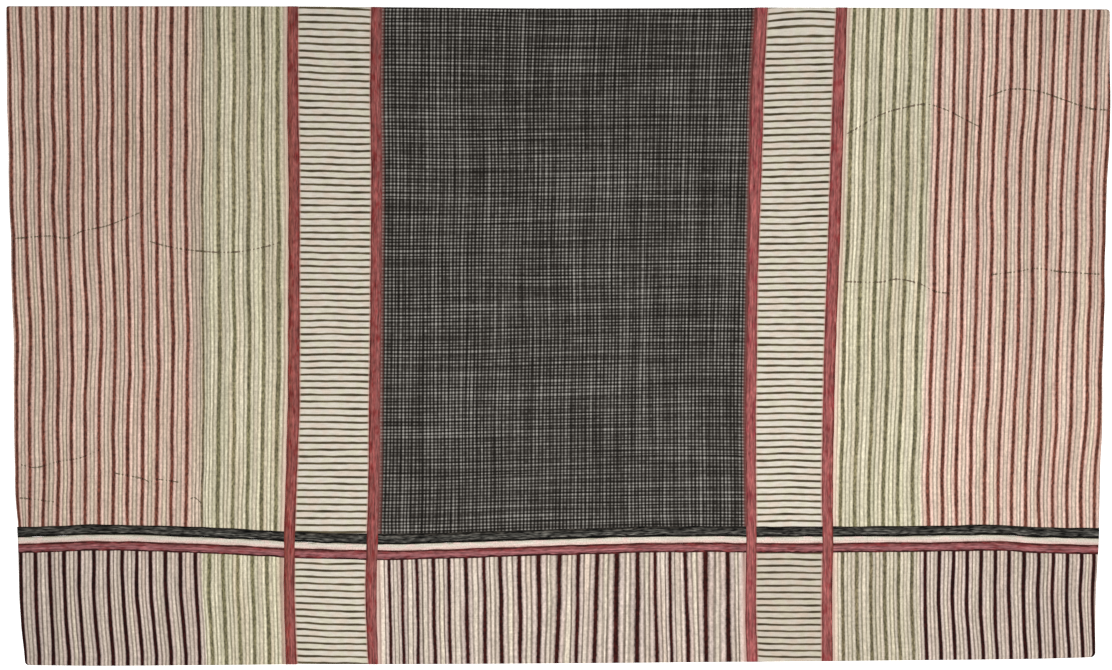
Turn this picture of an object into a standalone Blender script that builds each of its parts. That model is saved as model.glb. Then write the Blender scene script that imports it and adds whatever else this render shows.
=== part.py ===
"""A pieced handwoven cotton cloth, lying flat with low swells.

Striped, barred and checked lengths are sewn edge to edge. Three bands run across the
cloth below them, a row of shorter lengths closes its foot, and four upright tapes
cover the joins.
The origin is at the middle of the cloth, on the surface that it lies on. +Y runs to
the head of the cloth and +Z is up.
"""

import math
from typing import NamedTuple

import bmesh
import bpy

MILLIMETRE = 0.001

# Sizes of the cloth, in millimetres
CLOTH_THICKNESS = 1.2
TAPE_THICKNESS = 1.0
TAPE_WIDTH = 10.4
CHARCOAL_WIDTH = 10.8
CREAM_WIDTH = 6.4
CRIMSON_WIDTH = 9.7
SEAM_GAP = 0.5
TAPE_LIFT = 0.5

# Grid cells in each bay across the cloth, from left to right, and down each tier
COLUMNS_IN_BAY = (12, 4, 16, 3, 12)
ROWS_ABOVE_BANDS = 22
ROWS_BELOW_BANDS = 5


class Upright(NamedTuple):
    """Where the upright lines stand across the cloth at one height, in millimetres."""

    height: float
    left_edge: float
    tape_1: float
    tape_2: float
    tape_3: float
    tape_4: float
    right_edge: float


UPRIGHTS = (
    Upright(336.0, -562.5, -270.8, -185.5, 207.4, 289.0, 562.5),
    Upright(250.0, -561.5, -270.9, -186.4, 202.7, 285.8, 562.0),
    Upright(169.0, -559.5, -269.6, -185.5, 201.0, 283.2, 560.2),
    Upright(87.0, -557.5, -269.4, -185.9, 198.6, 280.7, 558.2),
    Upright(6.0, -555.2, -269.6, -186.5, 197.4, 277.6, 555.8),
    Upright(-76.0, -554.4, -270.1, -187.4, 196.0, 275.5, 553.5),
    Upright(-157.0, -553.2, -272.6, -188.0, 196.4, 274.2, 551.0),
    Upright(-208.0, -550.4, -274.2, -189.5, 196.9, 274.8, 550.4),
    Upright(-270.0, -548.8, -274.2, -190.9, 195.9, 274.0, 548.0),
    Upright(-336.0, -544.2, -272.1, -188.5, 197.5, 274.5, 547.4),
)


class Crossing(NamedTuple):
    """How high the crosswise lines stand at one place across the cloth, in millimetres.

    The join is where the charcoal band meets the cream band.
    """

    across: float
    head: float
    join: float
    foot: float


CROSSINGS = (
    Crossing(-562.5, 335.8, -206.2, -335.4),
    Crossing(-508.0, 335.7, -204.5, -335.7),
    Crossing(-467.0, 335.7, -203.0, -335.8),
    Crossing(-365.0, 335.6, -205.9, -335.7),
    Crossing(-253.0, 335.3, -211.1, -335.2),
    Crossing(-161.0, 334.6, -212.5, -334.8),
    Crossing(-39.0, 333.3, -209.0, -334.1),
    Crossing(83.0, 333.4, -205.4, -333.2),
    Crossing(145.0, 333.6, -204.8, -332.5),
    Crossing(226.0, 334.3, -205.4, -331.8),
    Crossing(369.0, 333.8, -204.4, -330.4),
    Crossing(450.0, 333.3, -203.5, -329.6),
    Crossing(491.0, 333.0, -205.9, -329.0),
    Crossing(562.5, 332.6, -207.2, -327.6),
)


class Swell(NamedTuple):
    """One low swell of the cloth: its middle, half sizes, turn and height."""

    across: float
    height_up: float
    half_length: float
    half_width: float
    turn_degrees: float
    rise: float


SWELLS = (
    Swell(-500.0, 285.0, 120.0, 80.0, -20.0, 1.8),
    Swell(-525.0, 110.0, 150.0, 60.0, 88.0, 1.6),
    Swell(-425.0, 102.0, 150.0, 45.0, -6.0, 1.2),
    Swell(-440.0, -135.0, 130.0, 45.0, -4.0, 1.1),
    Swell(-467.0, -195.0, 85.0, 60.0, 0.0, 1.8),
    Swell(-250.0, 50.0, 95.0, 55.0, 84.0, 1.4),
    Swell(-190.0, -218.0, 115.0, 60.0, 0.0, 1.4),
    Swell(-70.0, 300.0, 120.0, 65.0, 5.0, 1.3),
    Swell(-110.0, -70.0, 95.0, 70.0, 60.0, 1.0),
    Swell(100.0, 120.0, 105.0, 65.0, 15.0, 1.1),
    Swell(130.0, -95.0, 95.0, 70.0, -30.0, 1.1),
    Swell(205.0, 240.0, 130.0, 60.0, 85.0, 1.6),
    Swell(283.0, 90.0, 115.0, 60.0, 88.0, 1.3),
    Swell(430.0, 212.0, 160.0, 55.0, 4.0, 1.3),
    Swell(420.0, 58.0, 165.0, 50.0, 6.0, 1.2),
    Swell(440.0, -195.0, 90.0, 60.0, 0.0, 1.8),
    Swell(-480.0, -292.0, 95.0, 60.0, -25.0, 1.5),
    Swell(95.0, -290.0, 105.0, 50.0, 0.0, 1.2),
    Swell(500.0, -288.0, 75.0, 60.0, 10.0, 1.4),
    Swell(525.0, 295.0, 75.0, 65.0, 40.0, 1.4),
)

# Colours of the cloth, as shader values
BRICK_STRIPE = (0.42, 0.29, 0.22)
CREAM_COTTON = (0.55, 0.47, 0.36)
CHECK_GREY = (0.075, 0.068, 0.058)
CHARCOAL = (0.035, 0.034, 0.032)
CRIMSON = (0.33, 0.085, 0.095)
MAROON_STRIPE = (0.33, 0.25, 0.20)
COTTON_ROUGHNESS = 0.9


def smooth_value(rows, place, column):
    """Read a column of a table at a place between its rows, along a smooth curve."""
    ordered = sorted(rows, key=lambda row: row[0])
    places = [row[0] for row in ordered]
    values = [getattr(row, column) for row in ordered]
    last = len(places) - 1
    if place <= places[0]:
        return values[0]
    if place >= places[last]:
        return values[last]
    index = max(i for i in range(last) if places[i] <= place)

    def slope(i):
        before = max(i - 1, 0)
        after = min(i + 1, last)
        return (values[after] - values[before]) / (places[after] - places[before])

    span = places[index + 1] - places[index]
    t = (place - places[index]) / span
    rise = slope(index) * span
    fall = slope(index + 1) * span
    start = values[index] * (2 * t**3 - 3 * t**2 + 1) + rise * (t**3 - 2 * t**2 + t)
    return start + values[index + 1] * (3 * t**2 - 2 * t**3) + fall * (t**3 - t**2)


def swell_height(across, up):
    """Height of the cloth's underside over the surface, zero between the swells."""
    total = 0.0
    for swell in SWELLS:
        turn = math.radians(swell.turn_degrees)
        east = across - swell.across
        north = up - swell.height_up
        along = (east * math.cos(turn) + north * math.sin(turn)) / swell.half_length
        aside = (north * math.cos(turn) - east * math.sin(turn)) / swell.half_width
        left = max(0.0, 1.0 - along * along - aside * aside)
        total += swell.rise * left * left
    return total


def upright_line(name, offset=0.0):
    """A line down the cloth, as its place across at a given height."""
    return lambda up: smooth_value(UPRIGHTS, up, name) + offset


def crosswise_line(name, offset=0.0):
    """A line across the cloth, as its height at a given place across."""
    return lambda across: smooth_value(CROSSINGS, across, name) + offset


def place_on_cloth(left, right, low, high, share_across, share_up):
    """Point at given shares of the way between two upright and two crosswise lines."""
    across = 0.0
    up = 0.0
    for _ in range(4):
        across = left(up) + share_across * (right(up) - left(up))
        up = low(across) + share_up * (high(across) - low(across))
    return across, up


def cotton(name, color):
    """Plain cotton finish of one piece."""
    material = bpy.data.materials.new(name)
    material.use_nodes = True
    shader = material.node_tree.nodes["Principled BSDF"]
    shader.inputs["Base Color"].default_value = (*color, 1.0)
    shader.inputs["Roughness"].default_value = COTTON_ROUGHNESS
    shader.inputs["Metallic"].default_value = 0.0
    return material


def sheet(collection, name, color, points, columns, rows, thickness):
    """A sheet of cloth: a grid laid on its points, thickened upwards.

    points gives the underside for shares across and up, both from 0 to 1.
    """
    shape = bmesh.new()
    bmesh.ops.create_grid(shape, x_segments=columns, y_segments=rows, size=0.5)
    middle_x, middle_y, _ = points(0.5, 0.5)
    for vertex in shape.verts:
        x, y, z = points(vertex.co.x + 0.5, vertex.co.y + 0.5)
        vertex.co = (
            (x - middle_x) * MILLIMETRE,
            (y - middle_y) * MILLIMETRE,
            z * MILLIMETRE,
        )
    mesh = bpy.data.meshes.new(name)
    shape.to_mesh(mesh)
    shape.free()
    piece = bpy.data.objects.new(name, mesh)
    piece.location = (middle_x * MILLIMETRE, middle_y * MILLIMETRE, 0.0)
    piece.data.materials.append(cotton(name, color))
    solidify = piece.modifiers.new("thickness", "SOLIDIFY")
    solidify.thickness = thickness * MILLIMETRE
    solidify.offset = 1.0
    collection.objects.link(piece)
    return piece


def laid_points(left, right, low, high):
    """Underside of a length that lies on the surface between four lines."""

    def points(share_across, share_up):
        across, up = place_on_cloth(left, right, low, high, share_across, share_up)
        return across, up, swell_height(across, up)

    return points


def upper_lengths(collection):
    """The five lengths above the bands."""
    bays = (
        ("side_panel_left", BRICK_STRIPE, "left_edge", "tape_1"),
        ("barred_panel_left", CREAM_COTTON, "tape_1", "tape_2"),
        ("check_panel", CHECK_GREY, "tape_2", "tape_3"),
        ("barred_panel_right", CREAM_COTTON, "tape_3", "tape_4"),
        ("side_panel_right", BRICK_STRIPE, "tape_4", "right_edge"),
    )
    low = crosswise_line("join", CHARCOAL_WIDTH + SEAM_GAP / 2)
    high = crosswise_line("head")
    lengths_in_tier(collection, bays, low, high, ROWS_ABOVE_BANDS)


def lower_lengths(collection):
    """The five shorter lengths below the bands."""
    bays = (
        ("border_left", MAROON_STRIPE, "left_edge", "tape_1"),
        ("border_barred_left", CREAM_COTTON, "tape_1", "tape_2"),
        ("border_middle", MAROON_STRIPE, "tape_2", "tape_3"),
        ("border_barred_right", CREAM_COTTON, "tape_3", "tape_4"),
        ("border_right", MAROON_STRIPE, "tape_4", "right_edge"),
    )
    low = crosswise_line("foot")
    high = crosswise_line("join", -CREAM_WIDTH - CRIMSON_WIDTH - SEAM_GAP / 2)
    lengths_in_tier(collection, bays, low, high, ROWS_BELOW_BANDS)


def lengths_in_tier(collection, bays, low, high, rows):
    """A row of lengths, parted by the seam gap along the tapes' middles."""
    for bay, columns in zip(bays, COLUMNS_IN_BAY):
        name, color, left_name, right_name = bay
        left_gap = 0.0 if left_name == "left_edge" else SEAM_GAP / 2
        right_gap = 0.0 if right_name == "right_edge" else SEAM_GAP / 2
        left = upright_line(left_name, left_gap)
        right = upright_line(right_name, -right_gap)
        points = laid_points(left, right, low, high)
        sheet(collection, name, color, points, columns, rows, CLOTH_THICKNESS)


def bands(collection):
    """The three bands that run across the whole cloth."""
    tiers = (
        ("charcoal_band", CHARCOAL, 0.0, CHARCOAL_WIDTH),
        ("cream_band", CREAM_COTTON, -CREAM_WIDTH, 0.0),
        ("crimson_band", CRIMSON, -CREAM_WIDTH - CRIMSON_WIDTH, -CREAM_WIDTH),
    )
    left = upright_line("left_edge")
    right = upright_line("right_edge")
    for name, color, bottom, top in tiers:
        low = crosswise_line("join", bottom + SEAM_GAP / 2)
        high = crosswise_line("join", top - SEAM_GAP / 2)
        points = laid_points(left, right, low, high)
        sheet(collection, name, color, points, sum(COLUMNS_IN_BAY), 1, CLOTH_THICKNESS)


def tapes(collection):
    """The four upright tapes, laid over the joins from head to foot."""
    names = ("tape_outer_left", "tape_inner_left", "tape_inner_right", "tape_outer_right")
    low = crosswise_line("foot")
    high = crosswise_line("head")
    rows = ROWS_ABOVE_BANDS + ROWS_BELOW_BANDS + 1
    for number, name in enumerate(names, start=1):
        left = upright_line(f"tape_{number}", -TAPE_WIDTH / 2)
        right = upright_line(f"tape_{number}", TAPE_WIDTH / 2)
        on_cloth = laid_points(left, right, low, high)

        def points(share_across, share_up, on_cloth=on_cloth):
            across, up, height = on_cloth(share_across, share_up)
            return across, up, height + CLOTH_THICKNESS + TAPE_LIFT

        sheet(collection, name, CRIMSON, points, 1, rows, TAPE_THICKNESS)


def clear_scene():
    """Remove every object before modelling."""
    for old in list(bpy.data.objects):
        bpy.data.objects.remove(old, do_unlink=True)


def main():
    """Model the cloth."""
    clear_scene()
    collection = bpy.data.collections.new("khadi_cloth")
    bpy.context.scene.collection.children.link(collection)
    upper_lengths(collection)
    bands(collection)
    lower_lengths(collection)
    tapes(collection)


if __name__ == "__main__":
    main()
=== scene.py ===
"""Looks of a pieced handwoven cotton cloth that lies flat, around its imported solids.

Striped, barred and checked lengths, three crosswise bands and four upright tapes are
each a closed thin sheet on the swells of its solid. Ribs, hems and pressed seams are in
the meshes, and the threads' colours and fine relief are in the finishes.
"""

import logging
import math
from dataclasses import dataclass, field
from enum import Enum
from typing import NamedTuple

import bmesh
import bpy
import numpy as np
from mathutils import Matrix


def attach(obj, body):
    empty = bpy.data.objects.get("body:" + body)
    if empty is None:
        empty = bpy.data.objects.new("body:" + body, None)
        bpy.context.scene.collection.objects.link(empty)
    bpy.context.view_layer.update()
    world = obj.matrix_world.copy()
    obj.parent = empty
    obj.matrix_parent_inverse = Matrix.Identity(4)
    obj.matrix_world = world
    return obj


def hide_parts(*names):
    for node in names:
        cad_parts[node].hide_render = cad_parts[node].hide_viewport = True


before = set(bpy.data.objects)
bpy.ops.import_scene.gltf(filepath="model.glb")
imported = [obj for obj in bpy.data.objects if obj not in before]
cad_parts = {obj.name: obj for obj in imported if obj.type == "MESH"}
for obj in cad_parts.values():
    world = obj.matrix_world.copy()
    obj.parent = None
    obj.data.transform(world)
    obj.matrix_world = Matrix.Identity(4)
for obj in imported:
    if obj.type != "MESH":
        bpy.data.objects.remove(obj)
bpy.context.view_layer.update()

LOG = logging.getLogger("khadi_cloth")
MILLIMETRE = 0.001

# Sizes of the cloth as its solids have it, in millimetres
CLOTH_THICKNESS = 1.2
TAPE_WIDTH = 10.4
CHARCOAL_WIDTH = 10.8
CREAM_WIDTH = 6.4
CRIMSON_WIDTH = 9.7

# How the lengths are joined, in millimetres: an edge is pressed, and runs under its cover
TUCK = 0.7
PRESS_REACH = 2.4
HEM_REACH = 1.3
ROW_STEP = 4.4
BAR_STEP = 1.7
RIB_COLUMNS = 16
CORNER_REACH = 9.0

# How finely a band or tape is laid out: its step in millimetres, and cells along it
STRIP_STEP = 0.9
STRIP_EDGES = (0.2, 0.5)
BAND_CELLS = 280
TAPE_CELLS = 190

# Rounds in which a piece's places across and up settle on each other
SETTLING_ROUNDS = 3
# How many counts of the repeat are stretched at a straight end of a length
EDGE_STRETCH = 0.2
# The raised yarn of a bar, in millimetres, and its half width as a share of the repeat
BAR_RISE = 0.14
BAR_HALF_WIDTH = 0.25
# A count of the repeat that no length reaches, for one whose colours don't turn
NO_TURN = 99.0

# The upright lines, crosswise lines, tape widths, stripes and bars in the tables below were
# found in the photo with scripts, at 1.02 mm a pixel, and rounded. Some of them were then
# corrected by differences that a script measured between a render and the photo.


class Upright(NamedTuple):
    """Where the upright lines stand across the cloth at one height, in millimetres."""

    height: float
    left_edge: float
    tape_1: float
    tape_2: float
    tape_3: float
    tape_4: float
    right_edge: float


UPRIGHTS = (
    Upright(336.0, -562.5, -270.8, -185.5, 207.4, 289.0, 562.5),
    Upright(250.0, -562.0, -270.9, -186.4, 202.7, 285.8, 563.2),
    Upright(169.0, -559.8, -269.6, -185.5, 201.0, 283.2, 560.8),
    Upright(87.0, -558.2, -269.4, -185.9, 198.6, 280.7, 557.5),
    Upright(6.0, -556.0, -269.6, -186.5, 197.4, 277.6, 556.0),
    Upright(-76.0, -555.2, -270.1, -187.4, 196.0, 275.5, 554.8),
    Upright(-157.0, -554.4, -272.6, -188.0, 196.4, 274.2, 552.6),
    Upright(-208.0, -551.2, -274.2, -189.5, 196.9, 274.8, 551.2),
    Upright(-270.0, -549.2, -274.2, -190.9, 195.9, 274.0, 548.2),
    Upright(-336.0, -544.2, -272.1, -188.5, 197.5, 274.5, 548.6),
)


class TapeWidths(NamedTuple):
    """How wide the four tapes are at one height, in millimetres."""

    height: float
    tape_1: float
    tape_2: float
    tape_3: float
    tape_4: float


TAPE_WIDTHS = (
    TapeWidths(336.0, 10.6, 10.6, 12.3, 11.4),
    TapeWidths(220.0, 11.4, 10.6, 12.8, 12.2),
    TapeWidths(128.0, 11.4, 10.6, 11.4, 12.2),
    TapeWidths(36.0, 11.4, 10.6, 10.0, 12.0),
    TapeWidths(-56.0, 12.0, 11.2, 10.8, 11.6),
    TapeWidths(-147.0, 11.4, 11.4, 10.2, 11.4),
    TapeWidths(-250.0, 10.8, 11.4, 10.6, 10.8),
    TapeWidths(-336.0, 11.2, 10.2, 11.2, 11.2),
)


class Crossing(NamedTuple):
    """How high the crosswise lines stand at one place across the cloth, in millimetres."""

    across: float
    head: float
    join: float
    foot: float


CROSSINGS = (
    Crossing(-562.5, 335.8, -206.2, -336.0),
    Crossing(-508.0, 335.8, -204.5, -336.5),
    Crossing(-467.0, 335.9, -203.0, -336.8),
    Crossing(-365.0, 335.9, -205.9, -336.2),
    Crossing(-253.0, 335.6, -211.1, -335.2),
    Crossing(-161.0, 334.8, -212.5, -335.2),
    Crossing(-39.0, 333.7, -209.0, -334.6),
    Crossing(83.0, 333.8, -205.4, -333.7),
    Crossing(145.0, 334.0, -204.8, -333.1),
    Crossing(226.0, 334.5, -205.4, -332.5),
    Crossing(369.0, 334.2, -204.4, -331.1),
    Crossing(450.0, 333.5, -203.5, -330.3),
    Crossing(491.0, 333.0, -205.9, -329.6),
    Crossing(562.5, 332.6, -207.2, -327.7),
)


class Swell(NamedTuple):
    """One low swell of the cloth: its middle, half sizes, turn and height."""

    across: float
    height_up: float
    half_length: float
    half_width: float
    turn_degrees: float
    rise: float


SWELLS = (
    Swell(-500.0, 285.0, 120.0, 80.0, -20.0, 1.8),
    Swell(-525.0, 110.0, 150.0, 60.0, 88.0, 1.6),
    Swell(-425.0, 102.0, 150.0, 45.0, -6.0, 1.2),
    Swell(-440.0, -135.0, 130.0, 45.0, -4.0, 1.1),
    Swell(-467.0, -195.0, 85.0, 60.0, 0.0, 1.8),
    Swell(-250.0, 50.0, 95.0, 55.0, 84.0, 1.4),
    Swell(-190.0, -218.0, 115.0, 60.0, 0.0, 1.4),
    Swell(-70.0, 300.0, 120.0, 65.0, 5.0, 1.3),
    Swell(-110.0, -70.0, 95.0, 70.0, 60.0, 1.0),
    Swell(100.0, 120.0, 105.0, 65.0, 15.0, 1.1),
    Swell(130.0, -95.0, 95.0, 70.0, -30.0, 1.1),
    Swell(205.0, 240.0, 130.0, 60.0, 85.0, 1.6),
    Swell(283.0, 90.0, 115.0, 60.0, 88.0, 1.3),
    Swell(430.0, 212.0, 160.0, 55.0, 4.0, 1.3),
    Swell(420.0, 58.0, 165.0, 50.0, 6.0, 1.2),
    Swell(440.0, -195.0, 90.0, 60.0, 0.0, 1.8),
    Swell(-480.0, -292.0, 95.0, 60.0, -25.0, 1.5),
    Swell(95.0, -290.0, 105.0, 50.0, 0.0, 1.2),
    Swell(500.0, -288.0, 75.0, 60.0, 10.0, 1.4),
    Swell(525.0, 295.0, 75.0, 65.0, 40.0, 1.4),
)


class UpperLeftStripes(NamedTuple):
    """Where chosen stripes of the upper left length stand at one height."""

    height: float
    red_1: float
    red_2: float
    red_4: float
    red_7: float
    red_13: float
    dotted: float
    green_1: float
    green_5: float


UPPER_LEFT_STRIPES = (
    UpperLeftStripes(336.0, -561.0, -548.0, -516.5, -470.5, -378.5, -362.0, -346.0, -285.5),
    UpperLeftStripes(250.0, -558.5, -545.5, -515.0, -470.0, -379.5, -362.5, -346.0, -286.0),
    UpperLeftStripes(169.0, -557.0, -543.5, -514.5, -469.5, -380.5, -363.0, -347.0, -286.0),
    UpperLeftStripes(87.0, -555.5, -542.0, -513.5, -468.5, -379.5, -363.0, -346.0, -285.0),
    UpperLeftStripes(6.0, -552.5, -538.5, -510.0, -466.0, -378.0, -362.5, -345.5, -285.0),
    UpperLeftStripes(-76.0, -552.0, -539.0, -510.5, -468.0, -378.0, -361.5, -346.0, -286.0),
    UpperLeftStripes(-157.0, -552.0, -540.0, -510.0, -468.5, -379.0, -363.0, -347.0, -287.5),
    UpperLeftStripes(-208.0, -549.0, -540.0, -510.0, -468.5, -379.5, -363.0, -347.0, -288.5),
)


class UpperRightStripes(NamedTuple):
    """Where chosen stripes of the upper right length stand at one height."""

    height: float
    green_1: float
    green_6: float
    red_1: float
    red_7: float
    red_10: float
    red_12: float
    red_13: float


UPPER_RIGHT_STRIPES = (
    UpperRightStripes(336.0, 302.5, 375.0, 390.5, 477.0, 522.0, 551.5, 566.5),
    UpperRightStripes(250.0, 299.5, 372.5, 388.0, 475.0, 518.0, 548.0, 562.3),
    UpperRightStripes(169.0, 297.0, 371.0, 386.5, 471.5, 514.5, 544.5, 558.0),
    UpperRightStripes(87.0, 294.5, 368.5, 383.5, 470.0, 511.5, 542.5, 555.5),
    UpperRightStripes(6.0, 292.0, 366.0, 382.0, 468.5, 510.0, 540.5, 553.5),
    UpperRightStripes(-76.0, 290.0, 364.0, 379.0, 465.5, 507.5, 538.5, 551.5),
    UpperRightStripes(-157.0, 287.5, 361.5, 377.0, 462.0, 504.0, 533.0, 547.0),
    UpperRightStripes(-208.0, 288.0, 361.5, 377.0, 462.0, 504.5, 533.5, 547.0),
)


class LowerLeftStripes(NamedTuple):
    """Where chosen stripes of the lower left length stand at one height."""

    height: float
    dark_1: float
    dark_2: float
    dark_7: float
    dark_11: float
    dark_13: float
    green_1: float
    green_5: float


LOWER_LEFT_STRIPES = (
    LowerLeftStripes(-231.0, -548.0, -533.0, -458.5, -400.5, -370.0, -356.0, -297.0),
    LowerLeftStripes(-270.0, -547.0, -532.5, -458.5, -400.0, -369.0, -356.0, -296.5),
    LowerLeftStripes(-326.0, -544.0, -530.0, -453.5, -395.0, -364.5, -352.0, -294.0),
)


class LowerRightStripes(NamedTuple):
    """Where chosen stripes of the lower right length stand at one height."""

    height: float
    green_1: float
    green_6: float
    dark_1: float
    dark_7: float
    dark_10: float
    dark_12: float
    dark_13: float


LOWER_RIGHT_STRIPES = (
    LowerRightStripes(-231.0, 290.0, 361.0, 374.5, 460.0, 505.0, 533.5, 546.0),
    LowerRightStripes(-270.0, 289.5, 360.5, 374.0, 459.5, 503.5, 532.0, 544.5),
    LowerRightStripes(-326.0, 291.0, 362.5, 376.0, 462.0, 506.5, 535.5, 546.5),
)


class WideStripe(NamedTuple):
    """A dark stripe of the lower middle length: its place at the top, and its lean."""

    place: float
    lean: float


WIDE_STRIPES = (
    WideStripe(-172.0, 1.5),
    WideStripe(-159.0, 1.5),
    WideStripe(-144.0, 1.5),
    WideStripe(-127.5, 2.0),
    WideStripe(-112.0, 2.0),
    WideStripe(-94.5, 2.5),
    WideStripe(-75.5, 1.0),
    WideStripe(-59.0, 1.5),
    WideStripe(-39.5, 1.0),
    WideStripe(-19.5, -0.5),
    WideStripe(1.5, -3.0),
    WideStripe(20.0, -2.0),
    WideStripe(39.0, -2.5),
    WideStripe(59.5, -1.5),
    WideStripe(81.0, -1.0),
    WideStripe(99.0, 1.0),
    WideStripe(114.0, 1.0),
    WideStripe(130.0, 2.5),
    WideStripe(150.0, 1.0),
    WideStripe(173.0, 1.0),
    WideStripe(190.5, 2.0),
)


class Bar(NamedTuple):
    """How high one counted bar of a barred length stands at three places, in millimetres."""

    count: float
    left: float
    middle: float
    right: float


UPPER_LEFT_BARS = (
    Bar(-1.0, 341.0, 340.5, 339.0),
    Bar(0.0, 334.0, 333.5, 332.0),
    Bar(4.0, 305.0, 304.5, 303.0),
    Bar(8.0, 276.0, 274.5, 273.5),
    Bar(24.0, 161.5, 160.5, 160.0),
    Bar(40.0, 50.0, 49.5, 49.0),
    Bar(56.0, -60.5, -60.5, -61.0),
    Bar(75.0, -192.5, -193.0, -193.0),
    Bar(78.0, -213.5, -214.0, -214.0),
)
UPPER_RIGHT_BARS = (
    Bar(-2.0, 341.0, 344.0, 343.5),
    Bar(0.0, 327.0, 330.0, 329.5),
    Bar(2.0, 312.5, 315.5, 314.5),
    Bar(3.0, 303.5, 305.0, 305.0),
    Bar(8.0, 267.5, 269.0, 269.5),
    Bar(24.0, 155.0, 155.5, 156.5),
    Bar(40.0, 46.0, 46.0, 46.0),
    Bar(56.0, -65.5, -65.5, -66.0),
    Bar(74.0, -189.0, -189.0, -189.5),
    Bar(77.0, -209.5, -210.0, -210.0),
)
LOWER_LEFT_BARS = (
    Bar(-2.0, -218.5, -219.0, -219.0),
    Bar(0.0, -232.0, -232.5, -232.5),
    Bar(6.0, -272.5, -274.0, -274.5),
    Bar(14.0, -326.0, -327.0, -328.0),
    Bar(17.0, -346.0, -347.0, -348.0),
)
LOWER_RIGHT_BARS = (
    Bar(-2.0, -214.5, -214.5, -215.0),
    Bar(0.0, -228.0, -228.0, -228.5),
    Bar(6.0, -268.5, -268.5, -268.5),
    Bar(15.0, -326.0, -328.0, -328.0),
    Bar(18.0, -346.0, -348.0, -348.0),
)


class Knot(NamedTuple):
    """A place on the way of a wandering thread, in millimetres."""

    across: float
    up: float


LEFT_THREADS = (
    (
        Knot(-554, 99), Knot(-518, 101.5), Knot(-501, 99.5),
        Knot(-485, 106.5), Knot(-460, 112), Knot(-427, 125),
    ),
    (
        Knot(-418, 96.5), Knot(-401, 91.5), Knot(-370, 86.5),
        Knot(-332, 85), Knot(-301, 90), Knot(-284, 95),
    ),
    (Knot(-550, -131), Knot(-533, -134.5), Knot(-510, -128.5), Knot(-487, -124.5), Knot(-468, -116.5)),
    (Knot(-453, -140), Knot(-423, -146), Knot(-416, -149.5), Knot(-411, -146.5), Knot(-386, -149.5)),
    (Knot(-375, -166), Knot(-370, -165.5), Knot(-364, -171)),
    (Knot(-549, -165.5), Knot(-543, -166), Knot(-513, -169.5)),
)
RIGHT_THREADS = (
    (
        Knot(294, 205.5), Knot(309, 214), Knot(326, 224),
        Knot(349, 231.5), Knot(381, 235), Knot(430, 212.5),
    ),
    (
        Knot(437, 243), Knot(460, 251), Knot(489, 249),
        Knot(512, 241.5), Knot(542, 231.5), Knot(559, 230),
    ),
    (Knot(291, 55), Knot(328, 54.5), Knot(346, 57.5), Knot(369, 52.5), Knot(384, 45), Knot(402, 43)),
    (Knot(441, 62), Knot(470, 65.5), Knot(485, 68.5), Knot(513, 65), Knot(552, 62.5)),
)


class Side(Enum):
    """The four sides of a length."""

    LEFT = "left_edge"
    RIGHT = "right_edge"
    LOW = "low"
    HIGH = "high"


class Tone(Enum):
    """The yarn colours that one repeat of the ribbed stripes is woven from."""

    STRIPE = "stripe"
    FLANK = "flank"
    GROOVE = "groove"
    RIB = "rib"
    DOTTED = "dotted"


class Mark(NamedTuple):
    """One rib or groove of the striped repeat, charted with the help of the photo's mean repeat.

    The place is a share of the repeat from the dark stripe's middle, the half width is
    the share on each side that keeps the full colour, and the rise is in millimetres.
    """

    place: float
    half_width: float
    rise: float
    tone: Tone


REPEAT = (
    Mark(0.0, 0.075, 0.24, Tone.STRIPE),
    Mark(0.245, 0.045, 0.22, Tone.FLANK),
    Mark(0.375, 0.025, 0.0, Tone.GROOVE),
    Mark(0.5, 0.045, 0.28, Tone.RIB),
    Mark(0.625, 0.025, 0.0, Tone.GROOVE),
    Mark(0.755, 0.045, 0.22, Tone.FLANK),
)

# The repeat at the turn of the upper left length's colours, from its dotted line's middle
TURN = (
    Mark(-0.4, 0.008, 0.04, Tone.GROOVE),
    Mark(-0.285, 0.035, 0.22, Tone.RIB),
    Mark(-0.17, 0.006, 0.08, Tone.GROOVE),
    Mark(-0.12, 0.008, 0.1, Tone.RIB),
    Mark(0.005, 0.04, 0.14, Tone.DOTTED),
    Mark(0.145, 0.008, 0.1, Tone.RIB),
    Mark(0.21, 0.006, 0.08, Tone.GROOVE),
    Mark(0.305, 0.035, 0.22, Tone.RIB),
    Mark(0.41, 0.01, 0.04, Tone.GROOVE),
)


def linear(colour: str) -> tuple[float, float, float, float]:
    """Turn an sRGB hex colour into the linear values that a shader takes.

    Args:
        colour: The colour as "#RRGGBB".

    Returns:
        Linear red, green, blue and a full alpha.
    """
    shares = [int(colour[i : i + 2], 16) / 255.0 for i in (1, 3, 5)]
    bright = [s / 12.92 if s <= 0.04045 else ((s + 0.055) / 1.055) ** 2.4 for s in shares]
    return (*bright, 1.0)


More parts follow.
